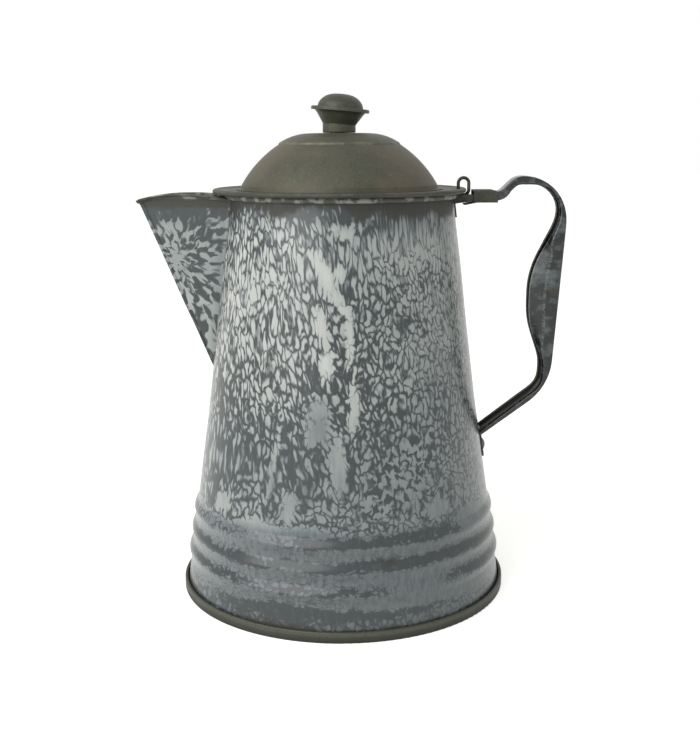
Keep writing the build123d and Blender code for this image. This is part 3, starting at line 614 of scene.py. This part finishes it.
def body_fields(points):
    """Where the enamel ran. flow: place on the unrolled wall. facing: the cosine from
    the front. coat: how far the pale coat covers, where it holds dark strokes in place
    of cells, its brown stains, which under the rim also hold painted shade. The fourth
    field: how thin the coat is, with painted shade on the side towards the handle and
    under the rim, and less on the upper left, where a painted highlight lies."""
    x, y, z = points.T
    r = np.hypot(x, y)
    front = np.arctan2(x, -y)
    turn = front / (2 * np.pi)
    up = z / rim_z
    inside = (r < wall_radius(z) + bead_height(z) - 0.6) & (z < rim_z)
    # the pale coat: richer on the upper left, where it holds a painted highlight, and on the beads; gone
    # near the rim, partly as brown stain and partly as painted shade under the lid's flange
    cover = 0.12 * drift(turn, up, 11, 9, 31) + 0.10 * drift(turn, up, 23, 17, 32) - 0.03
    # painted highlight: the lamp's sheen on the upper left, drawn as more pale coat and a thicker coat
    painted_sheen = soft_step(z, 110, 165) * np.exp(-((front + 0.75) / 0.55) ** 2)
    cover = cover + 0.20 * painted_sheen + 0.22 * np.clip(np.sin(2.2 * front), 0, 1) * (np.abs(front) < 1.43)
    # painted shade in part: below the rim the pale coat is taken away, for brown stain and for the lid
    # flange's shadow
    cover = cover - 0.70 * soft_step(z + 4.5 * drift(turn, up, 46, 2, 34), 180, 190)
    cover = cover + 0.12 * np.exp(-((z - 55 - 3 * drift(turn, up, 9, 2, 33)) / 6) ** 2)
    cover = cover - 0.06 * (1 - soft_step(z, 90, 120))
    cover = cover + 0.65 * (1 - soft_step(z, 44, 50)) * soft_step(z, 10, 15)
    # a dark ring along the top of each bead and above the seam, strong here and faint there
    ragged = 1.3 * drift(turn, z / bead_turn_z, 110, 9, 35) + 1.2 * drift(turn, z / bead_turn_z, 17, 4, 36)
    for number in range(-1, bead_count):
        mid = bead_low_z + bead_w / 2 + number * bead_step
        strong = 1.0 + 1.1 * drift(turn, z / bead_turn_z, 13, 2, 38 + number) - 0.35 * (number < 0)
        half = 1.7 + 0.7 * drift(turn, z / bead_turn_z, 19, 2, 44 + number)
        cover = cover - strong * 2.1 * np.exp(-((z - mid - 2.1 + ragged) / half) ** 2)
    # runs and pools, each with a dark outline
    shaken = front + 0.016 * drift(turn, up, 60, 24, 65) + 0.012 * drift(turn, up, 130, 50, 66)
    rise = z + 1.6 * drift(turn, up, 34, 30, 67)
    bright = highest(pale_runs, shaken, rise)
    pools = np.maximum(bright, highest(blue_pools + chance_runs(22, 51).tolist(), shaken, rise))
    lobes = 1.0 + 0.4 * drift(turn, up, 90, 46, 68)
    cover = cover + 0.88 * lobes * pools - 0.40 * np.exp(-((pools - 0.20) / 0.12) ** 2)
    for place in dark_spots:
        cover = cover - 1.1 * pool(shaken, rise, *place)
    brown = 0.75 * highest(brown_runs, front, z)
    brown = np.maximum(brown, (0.65 + 0.5 * drift(turn, up, 15, 2, 61)) * (1 - soft_step(z, 3.0, 11.0)))
    # brown band under the rim: partly a real stain, partly painted shade under the lid's flange
    brown = np.maximum(brown, soft_step(z + 3.5 * drift(turn, up, 44, 2, 64), 183.2, 189.2))
    # painted shade: the side towards the handle, away from the lamp, is drawn with a thinner, bluer and
    # darker coat; under the painted highlight the coat is drawn thicker
    thin_and_shade = 0.62 + 0.30 * np.sin(front) + 0.2 * drift(turn, up, 7, 5, 62) - 0.25 * painted_sheen
    thin_and_shade = thin_and_shade + 0.48 * (1 - soft_step(z, 60, 130)) + 0.76 * (1 - soft_step(z, 44, 50))
    # painted shade: the coat is drawn thinner and darker under the rim, below the lid's flange
    thin_and_shade = thin_and_shade + 0.5 * soft_step(z, 172, 186)
    for place in blue_pools:
        thin_and_shade = thin_and_shade + 0.6 * pool(front, z, *place)
    thin_and_shade = thin_and_shade - 0.45 * bright * soft_step(z, 60, 110)
    # dark strokes on the lower right
    torn = 0.12 * drift(turn, up, 30, 12, 69) + 0.08 * drift(turn, up, 70, 30, 70)
    low = z - 72
    swap = np.exp(-((front - 0.42 - 0.006 * low + torn) / 0.30) ** 2 - ((low + 20 * torn) / 20) ** 2)
    swap = np.where(inside, 0.0, soft_step(swap, 0.46, 0.54))
    cover = np.where(inside, 0.9, cover * (1 - 0.9 * swap) - 0.02 * swap)
    coat = np.stack([cover, swap, brown], axis=1)
    return wall_flow(front, z), np.cos(front), coat, np.clip(thin_and_shade, 0, 1.8)


def spout_fields(points):
    """The same fields for the spout: strokes that spread from a point low on its front,
    a dark band along the lip, and along the wall a slightly pale band, where the coat is also drawn thinner
    as painted shade in the joint."""
    x, y, z = points.T
    dx = x - stroke_x
    dz = z - stroke_z
    far = np.hypot(dx, dz)
    swing = np.stack([dx, dz], axis=1) * ((12.0 + 0.36 * far) / (far + 4.5))[:, None]
    sideways = swing[:, 0] + np.where(y > 0, side_shift, 0.0)
    flow = np.stack([sideways, sideways, swing[:, 1]], axis=1)
    to_wall = np.hypot(x, y) - wall_radius(z)
    lip = z - 0.09 * (x + 75) + 4.5 * drift(x / 60.0, np.zeros_like(z), 14, 1, 63)
    cover = -0.03 + 0.14 * drift(x / 60.0, z / 60.0, 7, 7, 68) - 0.60 * soft_step(lip, 180.0, 188.0)
    cover = cover + 0.25 * np.exp(-(to_wall / 1.8) ** 2)
    cover = cover + 0.6 * np.exp(-(dx / 3.5) ** 2 - (dz / 8) ** 2)
    brown = 0.95 * soft_step(z, 184, 189)
    # painted shade: the coat is drawn thinner and bluer along the spout's joint with the wall
    thin_and_shade = 0.63 + 0.30 * soft_step(z, 135, 160) + 0.5 * np.exp(-(to_wall / 3.0) ** 2)
    thin_and_shade = thin_and_shade + 0.5 * soft_step(z, 176, 188)
    whole = np.ones_like(z)
    return flow, whole, np.stack([cover, whole, brown], axis=1), np.clip(thin_and_shade, 0, 1.2)


# Materials
enamel_ior = 1.52


def linear(code):
    """Linear colour with alpha from an sRGB hex value."""
    parts = [int(code[i:i + 2], 16) / 255 for i in (1, 3, 5)]
    return tuple(c / 12.92 if c <= 0.04045 else ((c + 0.055) / 1.055) ** 2.4 for c in parts) + (1.0,)


def feed(tree, node, sockets):
    """Fills a node's inputs, by name or number, each with a value, with an output, or
    with a node's first output."""
    for key, value in sockets.items():
        if isinstance(value, bpy.types.Node):
            value = value.outputs[0]
        if isinstance(value, bpy.types.NodeSocket):
            tree.links.new(value, node.inputs[key])
        else:
            node.inputs[key].default_value = value


def put(tree, kind, sockets=None, stops=None, **settings):
    """Adds one shader node. Settings are its properties, sockets what its inputs are
    fed, and stops a ramp's places with their colours in hex."""
    node = tree.nodes.new("ShaderNode" + kind)
    for key, value in settings.items():
        setattr(node, key, value)
    feed(tree, node, sockets or {})
    if stops:
        ramp = node.color_ramp
        while len(ramp.elements) > 1:
            ramp.elements.remove(ramp.elements[-1])
        ramp.elements[0].position = stops[0][0]
        ramp.elements[0].color = linear(stops[0][1])
        for place, colour in stops[1:]:
            ramp.elements.new(place).color = linear(colour)
    return node


def blank(name):
    """Material with an empty tree, its shader and its output."""
    material = bpy.data.materials.new(name)
    material.use_nodes = True
    tree = material.node_tree
    tree.nodes.clear()
    shader = put(tree, "BsdfPrincipled")
    put(tree, "OutputMaterial", {"Surface": shader})
    return material, tree, shader


def wear(piece, material):
    piece.data.materials.clear()
    piece.data.materials.append(material)


# Vitreous enamel on steel, dipped and shaken so that the pale coat crawls into lumps
# over a dark ground: glossy, raised a little where the coat is thick, and with waves
# about 17 mm wide.
def make_graniteware():
    material, tree, shader = blank("graniteware_enamel")
    flow = put(tree, "Attribute", attribute_name="flow").outputs["Vector"]
    facing = put(tree, "Attribute", attribute_name="facing").outputs["Fac"]
    coat = put(tree, "Attribute", attribute_name="coat").outputs["Vector"]
    thin_and_shade = put(tree, "Attribute", attribute_name="thin_and_shade").outputs["Fac"]
    place = put(tree, "TexCoord").outputs["Object"]
    parts = put(tree, "SeparateXYZ", {0: coat})
    # the front and the back half are unrolled apart, and meet along a ragged line
    rolled = put(tree, "SeparateXYZ", {0: flow})
    ahead = put(tree, "CombineXYZ", {0: rolled, 1: rolled.outputs[2]})
    behind = put(tree, "CombineXYZ", {0: rolled.outputs[1], 1: rolled.outputs[2]})
    torn = put(tree, "TexNoise", {"Vector": place, "Scale": 110.0, "Detail": 1.0})
    which = put(tree, "Math", {0: torn, 1: 0.4, 2: facing}, operation="MULTIPLY_ADD")
    which = put(tree, "Math", {0: which, 1: 0.2}, operation="GREATER_THAN")
    sheet = put(tree, "Mix", {"Factor": which, "A": behind, "B": ahead},
                data_type="VECTOR").outputs["Result"]
    # crawled cells about 3 mm wide, their outlines bent at 8 mm and at 2 mm
    moved = sheet
    for scale, reach in ((0.12, 8.0), (0.42, 3.5)):
        bend = put(tree, "TexNoise", {"Vector": sheet, "Scale": scale, "Detail": 1.0})
        push = put(tree, "VectorMath", {0: bend.outputs["Color"], 1: (0.5, 0.5, 0.5)}, operation="SUBTRACT")
        moved = put(tree, "VectorMath", {0: push, 1: (reach, reach, 0.0), 2: moved},
                    operation="MULTIPLY_ADD")
    near, after = (put(tree, "TexVoronoi", {"Vector": moved, "Scale": 0.335, "Randomness": 0.9},
                       feature=feature, voronoi_dimensions="2D") for feature in ("F1", "F2"))
    ridge = put(tree, "Math", {0: after, 1: near}, operation="SUBTRACT")
    # dark lines between the cells: wide where the coat is scant, gone where it is rich
    patch = put(tree, "TexNoise", {"Vector": sheet, "Scale": 0.36, "Detail": 2.0, "Roughness": 0.55})
    cover = put(tree, "Math", {0: patch, 1: 0.8, 2: parts}, operation="MULTIPLY_ADD")
    width = put(tree, "MapRange", {"Value": cover, "From Min": -0.4, "From Max": 1.2, "To Min": 0.66,
                                   "To Max": -0.34})
    gap = put(tree, "Math", {0: ridge, 1: width}, operation="SUBTRACT")
    level = put(tree, "MapRange", {"Value": gap, "From Min": -0.08, "From Max": 0.30})
    # on the spout and the patch below it, dark strokes about 2 mm wide in place of cells
    fleck = put(tree, "TexNoise", {"Vector": sheet, "Scale": 0.41, "Detail": 1.5, "Distortion": 0.5},
                noise_dimensions="2D")
    bare = put(tree, "Math", {0: fleck, 1: 2.6, 2: parts}, operation="MULTIPLY_ADD")
    bare = put(tree, "MapRange", {"Value": bare, "From Min": 1.13, "From Max": 1.42})
    level = put(tree, "Mix", {"Factor": parts.outputs[1], "A": level, "B": bare})
    # where the coat is thinnest, and where the thinness field holds painted shade, even its
    # thick places stay half dark, and everywhere it has streaks about 2 mm wide and 7 mm high
    least = put(tree, "MapRange", {"Value": thin_and_shade, "From Min": 0.9, "From Max": 1.8, "To Min": 1.0,
                                   "To Max": 0.45})
    level = put(tree, "Math", {0: level, 1: least}, operation="MULTIPLY")
    long = put(tree, "VectorMath", {0: sheet, 1: (1.0, 0.25, 1.0)}, operation="MULTIPLY")
    streak = put(tree, "TexNoise", {"Vector": long, "Scale": 0.6, "Detail": 2.0})
    level = put(tree, "Math", {0: streak, 1: 0.5, 2: level}, operation="MULTIPLY_ADD")
    level = put(tree, "Math", {0: level, 1: 0.25}, operation="SUBTRACT", use_clamp=True)
    # colour through the coat: line, thin rim of a cell, thick middle; it is thin in
    # clouds about 20 mm wide, and the scant colours also paint the shade held in the thinness field
    thick = put(tree, "ValToRGB", {"Fac": level}, stops=[(0.0, "#393E3F"), (0.28, "#535859"),
                                                         (0.62, "#949896"), (1.0, "#C3C5C0")])
    scant = put(tree, "ValToRGB", {"Fac": level}, stops=[(0.0, "#363D3F"), (0.30, "#4E5658"),
                                                         (0.65, "#757D7F"), (1.0, "#919896")])
    cloud = put(tree, "TexNoise", {"Vector": place, "Scale": 45.0, "Detail": 3.0})
    fade = put(tree, "Math", {0: cloud, 1: 0.8, 2: thin_and_shade}, operation="MULTIPLY_ADD")
    fade = put(tree, "Math", {0: fade, 1: 0.4}, operation="SUBTRACT", use_clamp=True)
    colour = put(tree, "Mix", {"Factor": fade, "A": thick, "B": scant}, data_type="RGBA")
    # brown stains, ragged by about 4 mm, and worn chips about 5 mm long on the rim; under the rim the brown
    # is also painted shade from the lid's flange
    dirt = put(tree, "TexNoise", {"Vector": place, "Scale": 260.0, "Detail": 3.0, "Roughness": 0.65})
    stain_and_shade_sum = put(tree, "Math", {0: dirt, 1: 1.3, 2: parts.outputs[2]}, operation="MULTIPLY_ADD")
    stain_and_shade = put(tree, "MapRange", {"Value": stain_and_shade_sum, "From Min": 0.85, "From Max": 1.45, "To Max": 0.93})
    colour = put(tree, "Mix", {"Factor": stain_and_shade, "A": colour.outputs["Result"], "B": linear("#2F2E27")},
                 data_type="RGBA")
    where = put(tree, "SeparateXYZ", {0: place})
    rim = put(tree, "MapRange", {"Value": where.outputs[2], "From Min": 0.1908, "From Max": 0.1916})
    nick = put(tree, "TexNoise", {"Vector": place, "Scale": 190.0, "Detail": 2.0})
    chips = put(tree, "ValToRGB", {"Fac": nick}, stops=[(0.0, "#3B3C39"), (0.50, "#4A4B47"),
                                                        (0.56, "#8C8D87"), (0.66, "#96958C")])
    colour = put(tree, "Mix", {"Factor": rim, "A": colour.outputs["Result"], "B": chips}, data_type="RGBA")
    waves = put(tree, "TexNoise", {"Vector": place, "Scale": 60.0, "Detail": 1.0})
    relief = put(tree, "Math", {0: waves, 1: 2.0, 2: level}, operation="MULTIPLY_ADD")
    bump = put(tree, "Bump", {"Height": relief, "Strength": 0.30, "Distance": 0.00015})
    gloss = put(tree, "MapRange", {"Value": stain_and_shade, "To Min": 0.25, "To Max": 0.6})
    feed(tree, shader, {"Base Color": colour.outputs["Result"], "Normal": bump, "Roughness": gloss})
    shader.inputs["IOR"].default_value = enamel_ior
    return material


# Dark grey enamel on the folded handle: pale patches that run across the strip, edges
# worn pale, a painted highlight along the soft ridge of each side, one brown stain, and
# painted shade inside the channel. Patches are about 5 mm across and 4 mm along, and the
# edges and ridges are lightened in bits of about 1 mm.
def make_handle_enamel():
    material, tree, shader = blank("dark_handle_enamel")
    run = put(tree, "Attribute", attribute_name="run").outputs["Vector"]
    coat = put(tree, "Attribute", attribute_name="coat").outputs["Vector"]
    parts = put(tree, "SeparateXYZ", {0: coat})
    stretch = put(tree, "VectorMath", {0: run, 1: (0.85, 1.15, 1.0)}, operation="MULTIPLY")
    patch = put(tree, "TexNoise", {"Vector": stretch, "Scale": 0.24, "Detail": 3.0, "Roughness": 0.5})
    sum_up = put(tree, "Math", {0: parts, 1: 0.24, 2: patch}, operation="MULTIPLY_ADD")
    colour = put(tree, "ValToRGB", {"Fac": sum_up}, stops=[(0.46, "#0D1213"), (0.53, "#151A1C"),
                                                           (0.56, "#2E3436"), (0.64, "#3D4447"),
                                                           (0.80, "#545B5E")])
    grit = put(tree, "TexNoise", {"Vector": run, "Scale": 0.9, "Detail": 2.0})
    # worn free edges and a painted highlight along the ridges, mixed in pale
    wear_and_sheen = put(tree, "Math", {0: grit, 1: 0.9, 2: parts.outputs[1]}, operation="MULTIPLY_ADD")
    wear_and_sheen = put(tree, "MapRange", {"Value": wear_and_sheen, "From Min": 1.05, "From Max": 1.35, "To Max": 0.75})
    colour = put(tree, "Mix", {"Factor": wear_and_sheen, "A": colour, "B": linear("#84877F")}, data_type="RGBA")
    # rust brown for the stain and the arms, and painted shade inside the channel
    rust_and_shade = put(tree, "Math", {0: grit, 1: 0.9, 2: parts.outputs[2]}, operation="MULTIPLY_ADD")
    rust_and_shade = put(tree, "MapRange", {"Value": rust_and_shade, "From Min": 0.80, "From Max": 1.15, "To Max": 0.8})
    colour = put(tree, "Mix", {"Factor": rust_and_shade, "A": colour.outputs["Result"], "B": linear("#37342A")},
                 data_type="RGBA")
    bump = put(tree, "Bump", {"Height": sum_up, "Strength": 0.35, "Distance": 0.0004})
    gloss = put(tree, "MapRange", {"Value": rust_and_shade, "To Min": 0.24, "To Max": 0.6})
    feed(tree, shader, {"Base Color": colour.outputs["Result"], "Normal": bump, "Roughness": gloss})
    shader.inputs["IOR"].default_value = enamel_ior
    return material


# Tinplate dulled by age: the tin has gone to a matte grey brown skin with brown and
# greenish clouds about 35 mm wide, and bright lines where its bends are rubbed. Its
# specks are finer than the render can show, so they are drawn about 1 mm wide.
def make_tinplate(name, clouds, heights, rubbed):
    """Clouds are four colours from greenish to brown. Heights are the levels in metres
    of bends that are rubbed bright, with the reach of the rubbing."""
    material, tree, shader = blank(name)
    place = put(tree, "TexCoord").outputs["Object"]
    cloud = put(tree, "TexNoise", {"Vector": place, "Scale": 28.0, "Detail": 4.0, "Roughness": 0.6})
    skin = put(tree, "ValToRGB", {"Fac": cloud}, stops=[(0.36, clouds[0]), (0.47, clouds[1]),
                                                        (0.55, clouds[2]), (0.64, clouds[3])])
    grain = put(tree, "TexNoise", {"Vector": place, "Scale": 900.0, "Detail": 2.0, "Roughness": 0.7})
    speck = put(tree, "MapRange", {"Value": grain, "From Min": 0.50, "From Max": 0.75, "To Max": 0.16})
    colour = put(tree, "Mix", {"Factor": speck, "A": skin, "B": linear("#8B867A")}, data_type="RGBA")
    where = put(tree, "SeparateXYZ", {0: place})
    scuff = put(tree, "TexNoise", {"Vector": place, "Scale": 150.0, "Detail": 3.0, "Roughness": 0.7})
    for height, reach in heights:
        off = put(tree, "Math", {0: where.outputs[2], 1: height, 2: reach}, operation="COMPARE")
        soft = put(tree, "Math", {0: where.outputs[2], 1: height}, operation="SUBTRACT")
        soft = put(tree, "Math", {0: soft}, operation="ABSOLUTE")
        soft = put(tree, "MapRange", {"Value": soft, "From Min": 0.0, "From Max": reach, "To Min": 0.34,
                                      "To Max": 0.0})
        bright = put(tree, "Math", {0: scuff, 1: soft}, operation="ADD")
        bright = put(tree, "MapRange", {"Value": bright, "From Min": 0.66, "From Max": 1.0, "To Max": 0.5})
        bright = put(tree, "Math", {0: bright, 1: off}, operation="MULTIPLY")
        colour = put(tree, "Mix", {"Factor": bright, "A": colour.outputs[2], "B": linear(rubbed)},
                     data_type="RGBA")
    rough = put(tree, "MapRange", {"Value": cloud, "From Min": 0.3, "From Max": 0.7, "To Min": 0.46,
                                   "To Max": 0.62})
    dents = put(tree, "TexNoise", {"Vector": place, "Scale": 55.0, "Detail": 2.0})
    relief = put(tree, "Math", {0: dents, 1: 9.0, 2: grain}, operation="MULTIPLY_ADD")
    bump = put(tree, "Bump", {"Height": relief, "Strength": 0.35, "Distance": 0.00006})
    feed(tree, shader, {"Base Color": colour.outputs[2], "Roughness": rough, "Normal": bump})
    shader.inputs["Metallic"].default_value = 0.45
    return material


# Bare sheet steel and wire, dark with age: brown black skin, rubbed to grey in clouds
# about 14 mm wide. Its fine pits are drawn about 1 mm wide, so that they show.
def make_dark_steel(name, dark, mid, rubbed, metallic):
    material, tree, shader = blank(name)
    place = put(tree, "TexCoord").outputs["Object"]
    cloud = put(tree, "TexNoise", {"Vector": place, "Scale": 70.0, "Detail": 4.0, "Roughness": 0.65})
    skin = put(tree, "ValToRGB", {"Fac": cloud}, stops=[(0.34, dark), (0.52, mid), (0.68, rubbed)])
    pits = put(tree, "TexNoise", {"Vector": place, "Scale": 1100.0, "Detail": 2.0, "Roughness": 0.7})
    deep = put(tree, "MapRange", {"Value": pits, "From Min": 0.56, "From Max": 0.70, "To Max": 0.5})
    colour = put(tree, "Mix", {"Factor": deep, "A": skin, "B": linear(dark)}, data_type="RGBA")
    rough = put(tree, "MapRange", {"Value": cloud, "From Min": 0.3, "From Max": 0.7, "To Min": 0.55,
                                   "To Max": 0.36})
    bump = put(tree, "Bump", {"Height": pits, "Strength": 0.25, "Distance": 0.00006})
    feed(tree, shader, {"Base Color": colour.outputs["Result"], "Roughness": rough, "Normal": bump})
    shader.inputs["Metallic"].default_value = metallic
    return material


# Folded seam at the foot: bare steel, darker towards the bottom as painted shade on its
# underside and with a painted highlight line along its upper edge, clouded at about 17 mm, with pits drawn
# about 1 mm wide.
def make_seam_steel():
    material, tree, shader = blank("folded_seam_steel")
    place = put(tree, "TexCoord").outputs["Object"]
    where = put(tree, "SeparateXYZ", {0: place})
    cloud = put(tree, "TexNoise", {"Vector": place, "Scale": 60.0, "Detail": 4.0, "Roughness": 0.7})
    # painted shade and highlight: the colour runs from dark at the bottom of the seam to a light line at its
    # top
    shade_to_highlight = put(tree, "MapRange", {"Value": where.outputs[2], "From Max": seam_top_z * MM})
    sum_up = put(tree, "Math", {0: cloud, 1: 0.5, 2: shade_to_highlight}, operation="MULTIPLY_ADD")
    skin = put(tree, "ValToRGB", {"Fac": sum_up}, stops=[(0.22, "#20211C"), (0.50, "#30312A"),
                                                         (0.80, "#3D3E36"), (0.96, "#47483F"),
                                                         (1.0, "#515247")])
    pits = put(tree, "TexNoise", {"Vector": place, "Scale": 800.0, "Detail": 2.0, "Roughness": 0.7})
    deep = put(tree, "MapRange", {"Value": pits, "From Min": 0.56, "From Max": 0.70, "To Max": 0.6})
    colour = put(tree, "Mix", {"Factor": deep, "A": skin, "B": linear("#2E2E2A")}, data_type="RGBA")
    bump = put(tree, "Bump", {"Height": cloud, "Strength": 0.3, "Distance": 0.0003})
    feed(tree, shader, {"Base Color": colour.outputs["Result"], "Normal": bump})
    shader.inputs["Metallic"].default_value = 0.4
    shader.inputs["Roughness"].default_value = 0.6
    return material


graniteware = make_graniteware()
lid_tin = make_tinplate("aged_tinplate", ["#3E4135", "#48493C", "#514F41", "#5C5647"],
                        [(0.2165, 0.0014)], "#8E8B7C")
flange_tin = make_tinplate("handled_tinplate", ["#2E3129", "#36382F", "#3E3E34", "#4A483D"],
                           [(0.1952, 0.0005)], "#6F6E63")
sleeve_tin = make_tinplate("blackened_tinplate", ["#262923", "#2C2F28", "#33352D", "#3D3E35"],
                           [(0.1940, 0.0004)], "#56574C")
wire = make_dark_steel("tarnished_steel_wire", "#2A2B26", "#393A33", "#55554B", 0.6)
solder = make_dark_steel("soldered_strap_steel", "#22241F", "#2E302A", "#3F4037", 0.45)
rivet = make_dark_steel("peened_rivet_steel", "#3C3C38", "#50504A", "#6C6B62", 0.6)

wear(make_handle(), make_handle_enamel())
spout = make_spout()
body = make_body()
for piece, fields in ((body, body_fields), (spout, spout_fields)):
    wear(piece, graniteware)
    for name, values in zip(("flow", "facing", "coat", "thin_and_shade"), fields(read_points(piece))):
        keep_field(piece, name, values)
for material, names in ((make_seam_steel(), ["bottom_pan"]), (solder, ["hinge_bracket"]),
                        (sleeve_tin, ["handle_socket"]), (flange_tin, ["lid_flange", "lid_collar"]),
                        (lid_tin, ["lid_dome", "knob_spool", "knob_cap"]),
                        (wire, ["rim_wire", "spout_wire", "hinge_link", "lid_edge_wire"]),
                        (rivet, ["handle_rivet", "rivet_burr", "knob_rivet", "knob_washer"])):
    for name in names:
        wear(nodes[name], material)


# Stage, lights and camera: white that the floor and the room show when seen, the room's
# light, and the camera's place in metres with its tip down and its roll in radians
floor_half = 6000.0
floor_white = 0.62
room_light = 0.50
room_white = 1.0
camera_lens = 54.09
camera_place = (0.00376, -0.5294, 0.2177)
camera_tip = 0.2018
camera_roll = -0.0041


def seen_ray(tree):
    """1 for a ray from the camera or one that a gloss or a clear piece sends on, else 0."""
    path = put(tree, "LightPath")
    seen = put(tree, "Math", {0: path, 1: path.outputs["Is Glossy Ray"]}, operation="MAXIMUM")
    return put(tree, "Math", {0: seen, 1: path.outputs["Is Transmission Ray"]}, operation="MAXIMUM")


def make_stage():
    """Level floor that runs far back behind the pot. Seen by the camera or in a gloss it
    adds its own white, so that only the pot's shadow shows on it."""
    points = floor_half * np.array([[-1, -1, 0], [1, -1, 0], [1, 1, 0], [-1, 1, 0]])
    mesh = bpy.data.meshes.new("floor")
    mesh.from_pydata((points * MM).tolist(), [], [(0, 1, 2, 3)])
    floor = bpy.data.objects.new("floor", mesh)
    bpy.context.scene.collection.objects.link(floor)
    material, tree, shader = blank("white_paper_sweep")
    own = put(tree, "Math", {0: seen_ray(tree), 1: floor_white}, operation="MULTIPLY")
    shader.inputs["Base Color"].default_value = linear("#E9E9E4")
    shader.inputs["Roughness"].default_value = 0.95
    shader.inputs["Emission Color"].default_value = linear("#FFFFFC")
    feed(tree, shader, {"Emission Strength": own})
    wear(floor, material)


def make_lamp(name, place, target, size, power):
    """Square soft lamp that looks at a target. Places are in millimetres."""
    data = bpy.data.lights.new(name, "AREA")
    data.size = size * MM
    data.energy = power
    lamp = bpy.data.objects.new(name, data)
    bpy.context.scene.collection.objects.link(lamp)
    away = np.array(place, float) - np.array(target, float)
    lamp.location = np.array(place, float) * MM
    yaw = math.atan2(away[0], -away[1])
    pitch = math.atan2(math.hypot(away[0], away[1]), away[2])
    lamp.rotation_euler = (pitch, 0, yaw)


def make_world():
    world = bpy.data.worlds.new("white_room")
    bpy.context.scene.world = world
    world.use_nodes = True
    tree = world.node_tree
    tree.nodes.clear()
    strength = put(tree, "MapRange", {"Value": seen_ray(tree), "To Min": room_light, "To Max": room_white})
    sky = put(tree, "Background", {"Color": (1, 1, 1, 1), "Strength": strength})
    put(tree, "OutputWorld", {"Surface": sky})


make_stage()
make_world()
make_lamp("window", (-900, -900, 900), (0, 0, 110), 1500, 18.5)

camera_data = bpy.data.cameras.new("camera")
camera_data.lens = camera_lens
camera_data.sensor_width = 36.0
camera_data.clip_end = 50.0
camera = bpy.data.objects.new("camera", camera_data)
bpy.context.scene.collection.objects.link(camera)
camera.location = camera_place
camera.rotation_mode = "QUATERNION"
level = math.radians(90)
camera.rotation_quaternion = Quaternion((1, 0, 0), level - camera_tip) @ Quaternion((0, 0, 1), camera_roll)
bpy.context.scene.camera = camera
bpy.context.scene.view_settings.view_transform = "Standard"
